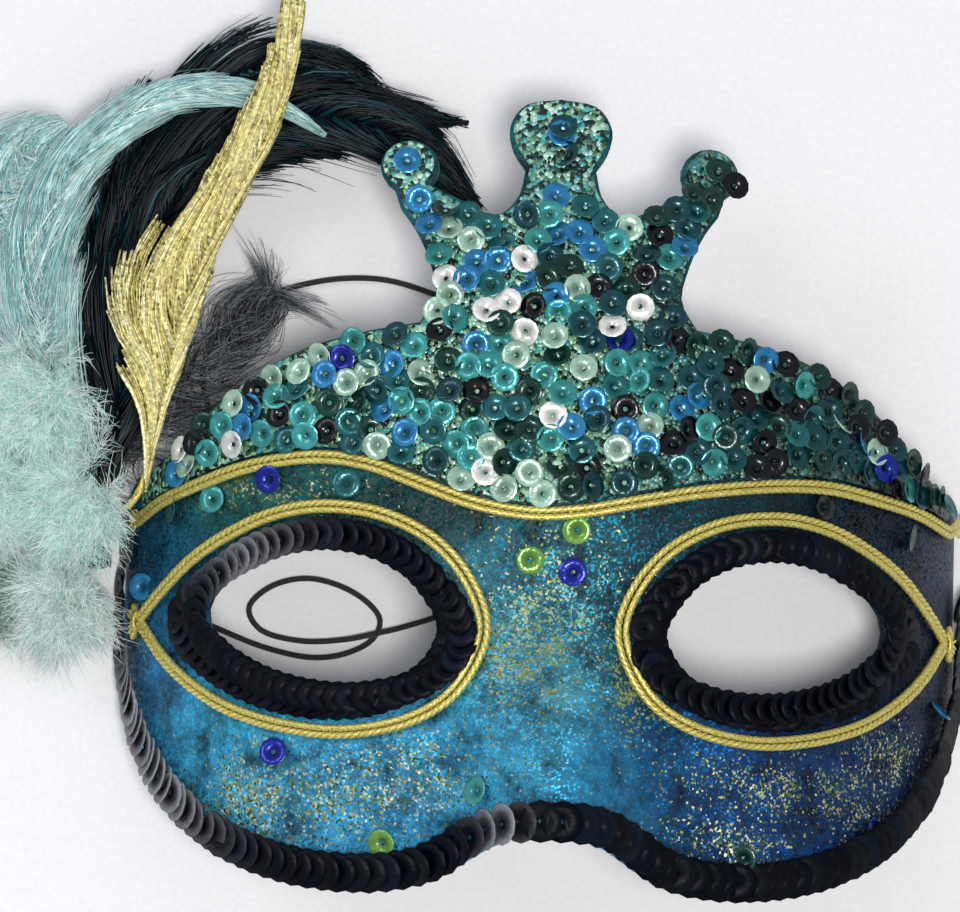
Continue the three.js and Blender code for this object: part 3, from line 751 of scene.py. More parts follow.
CLOTH_U = 96.0
inset = offset(mask_outline(), 0.7, closed=True)
top = [p for p in inset if abs(p[0]) < CLOTH_U and p[1] > brow_height(p[0], HEM) + 1.5]
hem = [(u, brow_height(u, HEM)) for u in np.linspace(-CLOTH_U + 5, CLOTH_U - 5, 90)]
cloth_outline = np.array([*hem, *top])
cloth = cut_sheet("ground_cloth", cloth_outline, [], 3.0)
cloth_area = press(cloth, CLOTH_TOP, CLOTH)
cloth_u, cloth_v = pattern_of(mesh_points(cloth.data))
# The cloth's colour by zones. The dark zones on the right and the dark right prong are partly painted
# shade, as if the light came from the left.
GROUND_AND_SHADE_ZONES = [
    (-70, 40, 30, 20, "#78988e"), (-20, 50, 26, 22, "#86a49a"), (0, 84, 40, 10, "#70989a"),
    (0, 95, 9, 9, "#a0b8b4"), (-26, 88, 7, 7, "#a4bcb8"), (27, 88, 8, 8, "#3c5c56"),
    (34, 50, 22, 24, "#446c6c"), (75, 36, 30, 18, "#0c1c22"),
]
paint_points(cloth.data, "ground", zone_blend(cloth_u, cloth_v, GROUND_AND_SHADE_ZONES))
dress(cloth, "mask", ground, "sequin_cloth", "sequin_cloth")

# %% [markdown]
# ## One spangle, many times
# A cup sequin is a disc of metallised film, pressed into a shallow faceted cup with a hole for the
# thread. One is modelled here from a ring of twelve points that is extruded inwards twice and given
# a little thickness. All the sequins are turned, tipped and coloured copies of it.


# %% Model one spangle
def spangle(radius, hole, cup):
    """The points and faces of one cupped disc, in millimetres, facing up."""
    bpy.ops.object.select_all(action="DESELECT")
    bpy.ops.mesh.primitive_circle_add(vertices=12, radius=radius, fill_type="NOTHING")
    disc = bpy.context.object
    bpy.ops.object.mode_set(mode="EDIT")
    for size, drop in ((0.56, -cup), (hole / (radius * 0.56), -0.15 * cup)):
        bpy.ops.mesh.extrude_region_move(TRANSFORM_OT_translate={"value": (0, 0, drop)})
        bpy.ops.transform.resize(value=(size, size, 1), center_override=(0, 0, 0))
    bpy.ops.mesh.select_all(action="SELECT")
    bpy.ops.mesh.normals_make_consistent(inside=False)
    bpy.ops.object.mode_set(mode="OBJECT")
    finish_modifier(disc, "SOLIDIFY", thickness=0.14, offset=0.0)
    points = mesh_points(disc.data)
    faces = [list(f.vertices) for f in disc.data.polygons]
    bpy.data.objects.remove(disc)
    # Each face starts at its first point and the faces are sorted, so every run gives the same list.
    return points, sorted(f[f.index(min(f)):] + f[:f.index(min(f))] for f in faces)


def copies(template, places, frames, colours):
    """Copies of a shape at frame places, each turned to its own axes, with a colour per point."""
    points, faces = template
    turned = np.einsum("kij,pj->kpi", frames, points * MM) + places[:, None, :]
    count = len(points)
    all_faces = [[i + k * count for i in f] for k in range(len(places)) for f in faces]
    return turned.reshape(-1, 3), all_faces, np.repeat(colours, count, axis=0)


def axes(normals, along):
    """Right-handed axes with their third column along each normal."""
    normals = normals / np.linalg.norm(normals, axis=1, keepdims=True)
    first = along - normals * np.sum(along * normals, axis=1, keepdims=True)
    first = first / np.linalg.norm(first, axis=1, keepdims=True)
    return np.stack([first, np.cross(normals, first), normals], axis=-1)


def palette(codes):
    return np.array([linear(code)[:3] for code in codes])


def rim(template, number):
    """For each point of a number of copies, how near it is to its disc's edge, from 0 to 1."""
    reach = np.hypot(*template[0][:, :2].T)
    return np.tile(reach / reach.max(), number)[:, None]


cup_sequin = spangle(radius=2.75, hole=0.5, cup=0.6)
strung_sequin = spangle(radius=4.0, hole=0.5, cup=0.16)
print("faces in one sequin:", len(cup_sequin[1]))


# %% Metallised film
def film(name, roughness, metallic, coat, specular):
    """Thin film in each point's dye, a little uneven, with the dents of its pressing; on spangles that
    colour carries painted highlights and reflections too.
    """
    material, tree, feed = new_material(name, Roughness=roughness, Metallic=metallic,
                                        Specular_IOR_Level=specular,
                                        Coat_Weight=coat, Coat_Roughness=0.06)
    dye = attribute(tree, "dye")
    ripple = noise(tree, mask_millimetres(tree), 0.8, 2.0)
    feed("Base Color", scaled(tree, dye, mapped(tree, ripple, 0.3, 0.7, 0.8, 1.2)))
    feed("Normal", bump(tree, ripple, 0.25, 0.5))
    return material


iridescent = film("metallised iridescent film", 0.28, 0.4, 0.25, 0.4)
black_film = film("glossy black film", 0.45, 0.0, 0.0, 0.1)
print("films:", iridescent.name, "and", black_film.name)

# %% [markdown]
# ## Loose cup sequins
# They are glued at random, a little over the next, with their cups up. The places come from dart
# throwing: a random place is kept when no sequin is closer than 3.5 mm. The colour of each follows
# the mask's own scheme: white and mint in the middle, teal and blue left, dark green and navy right.
# The darkness on the right is partly painted shade, as if the light came from the left.


# %% Where the cup sequins lie
def inside(points, outline):
    """True for each point that lies inside a closed outline."""
    a = np.asarray(outline)
    b = np.roll(a, -1, axis=0)
    x, y = points[:, None, 0], points[:, None, 1]
    crosses = (a[:, 1] > y) != (b[:, 1] > y)
    rise = np.where(b[:, 1] == a[:, 1], 1e-9, b[:, 1] - a[:, 1])
    return (crosses & (x < (b[:, 0] - a[:, 0]) * (y - a[:, 1]) / rise + a[:, 0])).sum(1) % 2 == 1


SEQUIN_GAP = 3.5
rng = np.random.default_rng(31)
low, high = cloth_outline.min(0), cloth_outline.max(0)
darts = rng.uniform(low, high, (30000, 2))
room = offset(cloth_outline, 1.3, closed=True)
darts = darts[inside(darts, room)]
kept = []
for dart in darts:
    if not kept or np.min(np.hypot(*(np.array(kept) - dart).T)) > SEQUIN_GAP:
        kept.append(dart)
kept = np.array(kept)
CROWN_LINE, CROWN_SHARE = 82.0, 0.35          # the prongs' tips show mostly glitter
kept = kept[(kept[:, 1] < CROWN_LINE) | (rng.random(len(kept)) < CROWN_SHARE)]
QUILL_ROOM = (-76.0, 36.0)                    # no sequins under the root of the gold feather
kept = kept[(kept[:, 0] > QUILL_ROOM[0]) | (kept[:, 1] > QUILL_ROOM[1])]

print("places for sequins:", len(kept))

# %% Colours of the cup sequins
DYES = ["#f2f2ee", "#a8ccb8", "#1c6468", "#3d9a98", "#2a7fb4", "#0a3a32", "#01060f", "#0b1f90",
        "#6fa048", "#0c444c"]
SCHEMES = [                                   # u, v, how wide, how tall, share of each dye
    (-11, 64, 9, 9, (9, 6, 2, 3, 3, 1, 0, 0, 0, 1)),
    (-6, 42, 22, 14, (1.6, 4, 4, 4, 2, 4, 1.4, 0.2, 0.3, 3)),
    (-62, 38, 40, 14, (0.8, 4.5, 5, 6, 3, 2, 1, 0.3, 0.3, 2)),
    (0, 86, 34, 16, (0.6, 2, 5, 4, 4, 4, 1, 0.4, 0.3, 5)),
    (34, 44, 20, 20, (0.3, 1, 4, 3, 1.5, 7, 4, 0.6, 0.2, 6)),
    (74, 34, 34, 18, (0.1, 0.5, 1.4, 1.2, 0.4, 6, 9, 0.5, 0.1, 6)),
]
pull = np.stack([bell(kept[:, 0], kept[:, 1], scheme) + 1e-6 for scheme in SCHEMES])
shares = (pull[..., None] * np.array([s[4] for s in SCHEMES], float)[:, None, :]).sum(0)
shares /= shares.sum(1, keepdims=True)
draw = rng.random(len(kept))
dye_index = (np.cumsum(shares, axis=1) < draw[:, None]).sum(1)

print("white sequins:", int((dye_index == 0).sum()))

# %% Sequins placed one by one
# These lie on the paint below the brow, and on the prongs' tips.
STRAYS = [                                    # u, v, dye
    (-52, 25.5, 7), (3, 8, 7), (-49, -27, 7), (10, 53, 7), (-4, 10, 8), (3.5, 16, 8),
    (-78, 20.5, 2), (-66, 22.2, 3), (-36, 24.5, 2), (-90, 6, 4), (-62, -40, 2), (-28, -44, 8),
    (34, -45, 5), (64, -39, 7), (-12, -34, 3), (88, -14, 4), (50, 23.4, 6), (74, 19, 5),
    (0, 94, 4), (-26.5, 88, 4), (23, 83, 5), (27.5, 88, 5), (30.5, 85, 6),
]
strays = np.array([s[:2] for s in STRAYS], float)
places = np.vstack([kept, strays])
dye_index = np.concatenate([dye_index, [s[2] for s in STRAYS]])
on_cloth = places[:, 1] > brow_height(places[:, 0], HEM)
ON_CLOTH, ON_PAINT, PILED, TIPPED = 0.75, 0.85, 0.9, 0.22     # lifts and piling in mm, tilt
rise = np.where(on_cloth, CLOTH_TOP + ON_CLOTH, ON_PAINT)
rise = rise + rng.uniform(0.0, PILED, len(places))
normal = outward(places[:, 0], places[:, 1]) + rng.normal(0, TIPPED, (len(places), 3))
turn = rng.normal(0, 1, (len(places), 3))
colours = palette(DYES)[dye_index] * rng.uniform(0.8, 1.15, (len(places), 1))
points, faces, dyes = copies(cup_sequin, form(places[:, 0], places[:, 1], rise),
                             axes(normal, turn), colours)
sequins = mesh_piece("cup_sequins", points, faces, "mask", iridescent, "sequin_cloth")
# Each sequin is made paler at its rim and darker in its cup: a painted highlight on the rim and
# painted shade in the cup.
paint_points(sequins.data, "dye", dyes * (0.5 + 0.62 * rim(cup_sequin, len(places))))
print("cup sequins:", len(places))

# %% [markdown]
# ## Strung black spangles
# The lower edge and both eyes are bound with ready-strung black spangles. On the string each one
# leans on the next like a fish scale, so the pitch is less than half a spangle, and every spangle
# is tipped about the axis across the string.


# %% Strings of spangles
def strung(line, pitch, lean, lift, rng, size=1.0):
    """Spangle places and axes along a pattern line, each leaning on the next."""
    count = int(length_of(line) / pitch)
    spots = smooth_line(line[::2], count)
    ahead = np.roll(spots, -1, axis=0) - spots
    ahead[-1] = ahead[-2]
    here = form(spots[:, 0], spots[:, 1], np.full(len(spots), lift))
    there = form(*(spots + 0.1 * ahead).T, np.full(len(spots), lift))
    along = there - here
    along = along / np.linalg.norm(along, axis=1, keepdims=True)
    up_way = outward(spots[:, 0], spots[:, 1])
    angle = lean + rng.normal(0, 0.09, len(spots))
    tipped = up_way * np.cos(angle)[:, None] - along * np.sin(angle)[:, None]
    tipped = tipped + rng.normal(0, 0.05, tipped.shape)
    return here, axes(tipped, along) * size


print("one row of spangles at a time")

# %% Black film and its painted reflections
LEAN = math.radians(9)
EDGE_PITCH, EYE_PITCH = 2.8, 2.6
# Zones where the rims show a painted grey reflection.
PAINTED_REFLECTION_ZONES = [(-100, -14, 14, 16), (-84, -34, 18, 12), (-66, 13, 14, 6), (-9, -42, 3, 5)]
lower_edge = smooth_line([*mirrored(LOWER_EDGE)[:-1], *LOWER_EDGE], 180)


def black_tones(spots, rng):
    """Black, and how far a painted grey reflection shows on the rims, most at the left temple and
    cheek.
    """
    tones = palette(["#020410", "#03050c", "#06101e", "#090d14"])
    tones = tones[rng.choice(4, len(spots), p=[0.45, 0.3, 0.15, 0.1])]
    u, v = pattern_of(spots)
    return tones, zone_cover(u, v, PAINTED_REFLECTION_ZONES)[:, None] * rng.uniform(0.75, 1.0, (len(spots), 1))


print("worn zones:", len(PAINTED_REFLECTION_ZONES))


# %% Sew the strings on
def add_string(name, rows, pitch, node):
    """One piece from rows of (pattern line, size, lift)."""
    laid = [strung(line, pitch, LEAN, lift, rng, size) for line, size, lift in rows]
    spots, frames = (np.concatenate(part) for part in zip(*laid))
    tones, grey = black_tones(spots, rng)
    points, faces, dyes = copies(strung_sequin, spots, frames, tones)
    string = mesh_piece(name, points, faces, "mask", black_film, "strung_sequins", node)
    # The rims are mixed towards grey as a painted reflection, most in those zones.
    painted_reflection = np.repeat(grey, len(strung_sequin[0]), axis=0) * rim(strung_sequin, len(spots)) ** 3
    paint_points(string.data, "dye", dyes * (1 - painted_reflection) + palette(["#9a9ca4"]) * painted_reflection)
    print(name, len(spots), "spangles")


add_string("edge_spangles", [(lower_edge, 1.0, 1.9)], EDGE_PITCH, "edge_sequin_trim")
for label, side in (("left", -1), ("right", 1)):
    outer = smooth_line(on_side(side, EYE_TRIM), 90, closed=True)[:-1]
    rows = [(offset(outer, 3.2, closed=True), 0.8, 1.3), (eye_hole(side, 2.3)[::-1], 0.8, 2.1)]
    add_string(f"eye_spangles_{label}", rows, EYE_PITCH, f"eye_sequin_trim_{label}")

# %% [markdown]
# ## Gold braid
# Soutache braid is two cords side by side, covered in gold thread that crosses in the groove. Each
# cord is a tube with three lobes that wind round it, so light breaks on it as on twisted thread.
# The hollows between the lobes are also coloured darker, as painted shade.


# %% Gold thread
LAY = 1.5                                     # one turn of the covering thread, mm
CORD_R, CORD_APART, LOBE, CORD_SIDES = 0.66, 0.68, 0.075, 10
gold_thread, tree, feed = new_material("gold lurex thread over cotton cord", Roughness=0.4,
                                       Metallic=0.5)
wrap = noise(tree, mask_millimetres(tree), 2.6, 3.0)
lurex = tone(tree, wrap, [
    (0.3, "#b8a240"), (0.45, "#e2d264"), (0.6, "#f4ea92"), (0.75, "#fcf8cc")])
# Darker gold where painted shade lies in the hollows between the lobes.
feed("Base Color", mixed(tree, attribute(tree, "groove_shade", "Fac"), lurex, linear("#4a3a0c")))
feed("Normal", bump(tree, wrap, 0.5, 0.25))
print("gold thread turns once in", LAY, "mm")


# %% Braids
THREAD_END = 0.28                             # radius of a loose thread end, mm


def braid(name, line, *nodes, extra=()):
    """Two lobed cords along a pattern line, with any loose ends as more lines of frame metres."""
    parts, groove_shades = [], []
    for side in (-1, 1):
        path = offset(line, side * CORD_APART)
        wander = 0.05 * np.sin(np.arange(len(path)) * 0.7 + side)
        centre = form(path[:, 0], path[:, 1], BRAID_LOW + CORD_R + 0.08 + wander)
        run = np.concatenate([[0], np.cumsum(np.linalg.norm(np.diff(centre, axis=0), axis=1))]) / MM
        angle = 2 * np.pi * np.arange(CORD_SIDES) / CORD_SIDES
        lobes = np.cos(3 * (angle[None] - side * 2 * np.pi * run[:, None] / (3 * LAY)))
        radius = (CORD_R + LOBE * lobes) * MM
        parts.append(tubes(centre[None], radius[None], CORD_SIDES, 1.0, (0.05, 0.1, 1)))
        # Painted shade in the hollows between the lobes.
        groove_shades.append(np.clip(0.4 - 0.5 * lobes, 0, 1).ravel() * 0.6)
    for end in extra:
        parts.append(tubes(end[None], np.full((1, len(end)), THREAD_END * MM), 5))
        groove_shades.append(np.full(len(parts[-1][0]), 0.15))
    piece = mesh_piece(name, *joined(parts), "mask", gold_thread, "gold_braid", *nodes)
    paint_points(piece.data, "groove_shade", np.concatenate(groove_shades))
    print(name, "faces:", len(piece.data.polygons))


# %% The braids and their ends
def ends(spot_u, spot_v, spread, rng, count=6, reach=4.5):
    """Loose thread ends that fan out from a place on the pattern."""
    lines = []
    for i in range(count):
        way = spread[0] + (spread[1] - spread[0]) * (i + rng.random()) / count
        far = reach * rng.uniform(0.6, 1.1)
        s = np.linspace(0, 1, 7)
        bend = rng.normal(0, 0.35)
        u = spot_u + far * s * np.cos(way + bend * s)
        v = spot_v + far * s * np.sin(way + bend * s)
        lines.append(form(u, v, 1.1 + 1.0 * s * rng.uniform(0.2, 1.0)))
    return lines


def coil(u, v, radius, turns):
    s = np.linspace(0, 1, 60)
    angle = 2 * np.pi * turns * s
    return form(u + radius * (1 - 0.6 * s) * np.cos(angle), v + radius * (1 - 0.6 * s) * np.sin(angle),
                1.1 + 0.9 * s)


rng = np.random.default_rng(47)
brow_line = smooth_line([(-94.5, 19.2), *BROW_BRAID, (96, 22.5), (101, 24)], 460)
braid("brow_soutache", brow_line, "brow_braid", "brow_braid_curl",
      extra=[coil(-94.8, 19.8, 1.9, 2.0), coil(-94.2, 18.6, 1.5, 1.6),
             *ends(100, 23.6, (-0.5, 0.7), rng, 5, 3.0)])
for label, side in (("left", -1), ("right", 1)):
    loop = on_side(side, [(94, 2.0), (91, -0.7), *EYE_BRAID, (91, -0.9), (94.2, -3.4)])
    centre_way = 0.0 if side > 0 else math.pi
    tail_reach = 5.0 if side > 0 else 3.6
    tails = ends(side * 91.5, -0.8, (centre_way - 0.8, centre_way + 0.8), rng, 7, tail_reach)
    wrap_s = np.linspace(0, 1, 40)
    band = form(side * (90.4 + 1.1 * wrap_s), -0.8 + 2.0 * np.cos(8 * np.pi * wrap_s),
                1.3 + 1.1 * np.abs(np.sin(8 * np.pi * wrap_s)))
    braid(f"eye_soutache_{label}", smooth_line(loop, 430), f"eye_braid_{label}",
          f"eye_braid_tie_{label}", extra=[band, *tails])

# %% [markdown]
# ## Patches and knots behind the temples
# Each end of the elastic passes through a felt patch and is stopped by an overhand knot. A patch is
# a box with its edges bevelled. A knot is the cord itself, tied: the curve of a trefoil.

# %% Patches and knots
PATCH_U, PATCH_V, PATCH_SIZE, PATCH_INSET = 98.0, 9.0, (12.0, 18.0, 1.2), 5.0
KNOT_V, KNOT_DEPTH, KNOT_SCALE = 6.0, 7.8, 0.36


def behind(u, v, depth):
    """The frame place and axes at a depth behind the face."""
    normal = outward(np.array([u]), np.array([v]))
    spot_there = to_frame(face(np.array([u]), np.array([v])) - normal * depth)[0]
    return spot_there, axes(normal, np.array([[0.0, 0.0, -math.copysign(1, u)]]))[0]


KNOT_CORD = 0.55                              # radius of the pulled-tight cord, mm
for label, side in (("left", -1), ("right", 1)):
    bpy.ops.object.select_all(action="DESELECT")
    bpy.ops.mesh.primitive_cube_add(size=1.0)
    patch = bpy.context.object
    patch.name = f"temple_patch_{label}"
    bpy.ops.object.mode_set(mode="EDIT")
    bpy.ops.mesh.select_all(action="SELECT")
    bpy.ops.transform.resize(value=PATCH_SIZE)
    bpy.ops.mesh.bevel(offset=0.35, segments=2, affect="EDGES")
    bpy.ops.object.mode_set(mode="OBJECT")
    middle, turned_axes = behind(side * PATCH_U, PATCH_V, PATCH_INSET)
    upright = np.stack([np.cross((0, 1, 0), turned_axes[:, 2]), (0, 1, 0), turned_axes[:, 2]], axis=1)
    upright[:, 0] /= np.linalg.norm(upright[:, 0])
    upright[:, 1] = np.cross(upright[:, 2], upright[:, 0])
    patch.data.vertices.foreach_set("co", (mesh_points(patch.data) * MM @ upright.T + middle).ravel())
    patch.data.update()
    dress(patch, "mask", felt, "felt", f"felt_patch_{label}")

    t = np.linspace(0, 2 * np.pi, 61)[:-1]
    trefoil = np.c_[np.sin(t) + 2 * np.sin(2 * t), np.cos(t) - 2 * np.cos(2 * t), -np.sin(3 * t)]
    middle, turned_axes = behind(side * PATCH_U, KNOT_V, KNOT_DEPTH)
    tied = (trefoil * KNOT_SCALE * MM) @ turned_axes.T + middle
    knot = tubes(np.vstack([tied, tied[:1]])[None], np.full((1, 61), KNOT_CORD * MM), 7)
    mesh_piece(f"tied_knot_{label}", *knot, "mask", elastic_fabric, "elastic",
               f"elastic_knot_{label}")
print("patches and knots made")

# %% [markdown]
# ## How a feather is made
# A feather is a shaft with hundreds of barbs, and its look is in how they part and clump. Each barb
# here is one fine closed strand. It leaves the shaft, sweeps towards the tip and curls a little,
# and neighbours share most of their bend, so they lie in locks with gaps between the locks. All the
# feathers lie in layers over one plane that slopes up towards the crown.

# %% The plume's plane
PLUME_ROOT = np.array((-88.0, 19.6, 14.0))
PLUME_TILT = math.atan(0.12)


def plume(x, y, h):
    """A place given by mask x and y and a height over the plume's plane, in frame metres."""
    y, h = y - PLUME_ROOT[1], np.asarray(h, float)
    turned_y = y * math.cos(PLUME_TILT) - h * math.sin(PLUME_TILT)
    turned_z = y * math.sin(PLUME_TILT) + h * math.cos(PLUME_TILT)
    return to_frame(np.stack([x + 0 * h, turned_y + PLUME_ROOT[1], turned_z + PLUME_ROOT[2]], axis=-1))


print("plume tilt, degrees:", round(math.degrees(PLUME_TILT), 1))


# %% Barbs along a shaft
def vane(spine, height, rng, count, sweep=0.9, spread=0.3, locks=26, curl=1.2, reach=1.0,
         thick=0.5, sides_used=(-1, 1), start=0.06, steps=7, ragged=0.25, bow=0.8,
         overrun=0.3, fan=0.0, lean=0.0, scatter=0.0, pointed=False):
    """The barbs of one feather: lines (n, steps, 3) in frame metres, and how far along each ring is.

    The spine is a list of (x, y, width). A barb runs forward along it by sweep times its half width
    and out to the edge times reach, and bow shapes its curve. Barbs share their bend in a number of
    locks: spread and curl set how far they part, ragged how uneven the edge is, and thick how deep
    the feather is. Past the tip they go on by overrun and open by fan, or stop when it is pointed.
    Lean moves the shaft off the middle, and scatter is how far from it the barbs may start.
    """
    spine = np.asarray(spine, float)
    axis = smooth_line(spine[:, :2], 200)
    run = np.linspace(0, 1, 201)
    knots = np.concatenate([[0], np.cumsum(np.linalg.norm(np.diff(spine[:, :2], axis=0), axis=1))])
    half = np.interp(run, knots / knots[-1], spine[:, 2]) / 2
    total = length_of(axis)
    at = np.sort(rng.uniform(start, 1.0, count))
    side = rng.choice(sides_used, count)
    lock = np.floor(at * locks + rng.uniform(0, 0.6, count)).astype(int)
    lock_bend = rng.normal(0, 1, (locks + 2, 4))
    shared = lock_bend[np.clip(lock, 0, locks + 1)]
    s = np.linspace(0, 1, steps)[None]
    vary = reach * (1 + ragged * rng.normal(0, 0.5, count) + ragged * 0.6 * shared[:, 0])
    forward = sweep * (np.interp(at, run, half) + 6) * (1 + 0.25 * shared[:, 1])
    if pointed:
        forward = np.minimum(forward, (1 - at) * total * rng.uniform(0.5, 1.0, count) + 1.5)
    along_at = np.clip(at[:, None] + forward[:, None] * s ** 1.1 / total, 0, 1.0)
    past = np.maximum(at[:, None] + forward[:, None] * s ** 1.1 / total - 1.0, 0) * total
    base_x, base_y = (np.interp(along_at, run, axis[:, k]) for k in (0, 1))
    tangent = np.gradient(axis, axis=0)
    tangent /= np.linalg.norm(tangent, axis=1, keepdims=True)
    tx, ty = (np.interp(along_at, run, tangent[:, k]) for k in (0, 1))
    envelope = np.interp(along_at, run, half) * np.exp(-past / 12)
    share = side[:, None] * (1 + side[:, None] * lean)
    out = share * vary[:, None] * (envelope + fan * past) * s ** bow - lean * envelope
    room = np.clip(envelope / 8, 0, 1) if pointed else 1.0
    loose = spread * shared[:, 2:3] + 0.15 * rng.normal(0, 1, (count, 1))
    out = out + (loose * curl * s ** 2 + scatter * rng.normal(0, 1, (count, 1)) * (1 - s)) * room
    x = base_x - ty * out + tx * past * overrun
    y = base_y + tx * out + ty * past * overrun
    h = height + thick * (rng.uniform(-0.5, 0.5, (count, 1)) + 0.6 * shared[:, 3:4] * s ** 2 * 0.5)
    return plume(x, y, h + 0 * x), np.repeat(s, count, axis=0)


print("a vane is ready to be laid along any shaft")


# %% Widths, colours and pieces
def taper(count, steps, root, tip=0.25):
    s = np.linspace(0, 1, steps)[None]
    return np.repeat(root * MM * (1 - (1 - tip) * s ** 1.5), count, axis=0)


def dyed(tones, share, rng, where, root_shade=0.6, scatter=0.16):
    """A colour for each ring of each strand: picked from tones, and darker at the root as painted
    shade.
    """
    picked = palette(tones)[rng.choice(len(tones), len(where), p=share)]
    picked = picked * rng.normal(1, scatter, (len(where), 1)).clip(0.6, 1.5)
    shade = root_shade + (1 - root_shade) * np.clip(where * 1.6, 0, 1)
    return picked[:, None, :] * shade[..., None]


def fibres(name, body, material, slot_name, nodes, batches):
    """One piece from batches of (lines, radii, colours, sides, flatten)."""
    points, faces = joined([tubes(lines, radii, sides, flatten)
                            for lines, radii, _, sides, flatten in batches])
    colours = [np.repeat(tints.reshape(-1, 3), sides, axis=0) for _, _, tints, sides, _ in batches]
    piece = mesh_piece(name, points, faces, body, material, slot_name, *nodes)
    paint_points(piece.data, "dye", np.vstack(colours).clip(0, 1))
    print(name, "faces:", len(faces))


def quill(spine, height, radius, colour, steps=60):
    axis = smooth_line(np.asarray(spine, float)[:, :2], steps - 1)
    line = plume(axis[:, 0], axis[:, 1], np.full(len(axis), height))[None]
    radii = radius * MM * (1 - 0.8 * np.linspace(0, 1, steps) ** 0.8)[None]
    return line, radii, np.broadcast_to(np.array(linear(colour)[:3]), (1, steps, 3)), 8, 1.0


print("a barb narrows from", *(round(w / MM, 2) for w in taper(1, 2, 0.4)[0]), "mm")


# %% Feather keratin
def keratin(name, roughness, sheen, glow, specular=0.5):
    """Dyed feather. A little of its colour glows, painted light that stands in for light that passes
    through thin barbs.
    """
    material, tree, feed = new_material(name, Roughness=roughness, Sheen_Weight=sheen,
                                        Sheen_Roughness=0.4, Emission_Strength=glow,
                                        Specular_IOR_Level=specular)
    dye = attribute(tree, "dye")
    drift = noise(tree, mask_millimetres(tree), 0.35, 3.0)
    feed("Base Color", scaled(tree, dye, mapped(tree, drift, 0.3, 0.7, 0.75, 1.2)))
    if glow:
        feed("Emission Color", dye)
    return material


ostrich_dye = keratin("dyed ostrich barbs", 0.6, 0.3, 0.08)
marabou_dye = keratin("dyed marabou down", 0.85, 0.4, 0.16)
coque_black = keratin("black cock tail feather", 0.4, 0.0, 0.0, 0.2)
print("feather materials:", ostrich_dye.name, marabou_dye.name, coque_black.name, sep=", ")

# %% [markdown]
# ## The coque feathers
# Cock tail feathers are black with a green shine, and arch over like a wave. Their barbs hook
# together into a smooth vane along the shaft, and fray into wisps at the edge and the tip.

# %% Coque spray
COQUES = {
    "outer": (-8.2, [(-88, 20.4, 2), (-94, 40, 8), (-95, 62, 12), (-88, 86, 14), (-73, 103, 14),
                     (-57, 111, 14), (-44, 108, 12), (-34, 103.5, 5), (-21.5, 101, 1)]),
    "inner": (-6.4, [(-88, 20.4, 2), (-90, 42, 8), (-88, 64, 12), (-79, 84, 16), (-65, 96, 17),
                     (-49, 101, 17), (-34, 98.5, 13), (-24, 92.5, 8), (-17.5, 86.5, 2)]),
    "short": (-4.6, [(-88, 20.4, 2), (-86.2, 36, 8), (-84.5, 52, 14), (-81, 68, 16), (-75, 84, 11),
                     (-69, 92, 2)]),
}
# The teal tones among the blacks paint the feathers' green sheen into the barbs' colour.
COQUE_TONES = ["#00040c", "#02161c", "#04303a", "#2a5f68"]
rng = np.random.default_rng(59)
for label, (height, spine) in COQUES.items():
    vane_count = 1500
    lines, where = vane(spine, height, rng, vane_count, sweep=1.9, locks=26, curl=1.3,
                               thick=0.9, ragged=0.18, bow=0.75)
    shine = dyed(COQUE_TONES, [0.52, 0.31, 0.14, 0.03], rng, where, 0.9, 0.2)
    wisps, wisp_where = vane(spine, height, rng, 160, sweep=2.4, locks=18, curl=2.6,
                                         reach=1.2, thick=1.6, ragged=0.4, start=0.3)
    fibres(f"coque_feather_{label}_barbs", "coque_spray", coque_black, "coque_feather",
           [f"coque_feather_{label}"], [
        quill(spine, height, 0.55, "#0a0c10"),
        (lines, taper(vane_count, 7, 0.4, 0.25), shine, 4, 0.35),
        (wisps, taper(160, 7, 0.16, 0.3),
         dyed(COQUE_TONES, [0.5, 0.3, 0.15, 0.05], rng, wisp_where), 3, 1.0),
    ])

# %% Down under the coque feathers
DOWN = (-10, [(-88.4, 21.6, 2), (-87.4, 31, 3.5), (-80.5, 40, 8), (-71, 49, 11), (-63, 58, 9),
              (-56, 65.5, 2)])
lines, where = vane(DOWN[1], DOWN[0], rng, 1100, sweep=1.3, locks=26, curl=7.5, reach=1.8,
                           thick=3.2, ragged=0.6, overrun=0.5, fan=0.4, scatter=3.0)
fibres("coque_down_fibres", "coque_spray", coque_black, "coque_feather", ["coque_down"], [
    quill(DOWN[1], DOWN[0], 0.4, "#1a1c22"),
    (lines, taper(1100, 7, 0.085, 0.3),
     dyed(["#15181d", "#4c5258", "#9aa0a6"], [0.4, 0.3, 0.3], rng, where), 3, 1.0),
])

# %% [markdown]
# ## The ostrich plume
# Ostrich barbs do not hook together. They are long, soft and separate, and fall in silky locks that
# bend over at the tip. The plume is dyed a pale sea green, and a faint painted glow stands in for the
# light that passes through it.

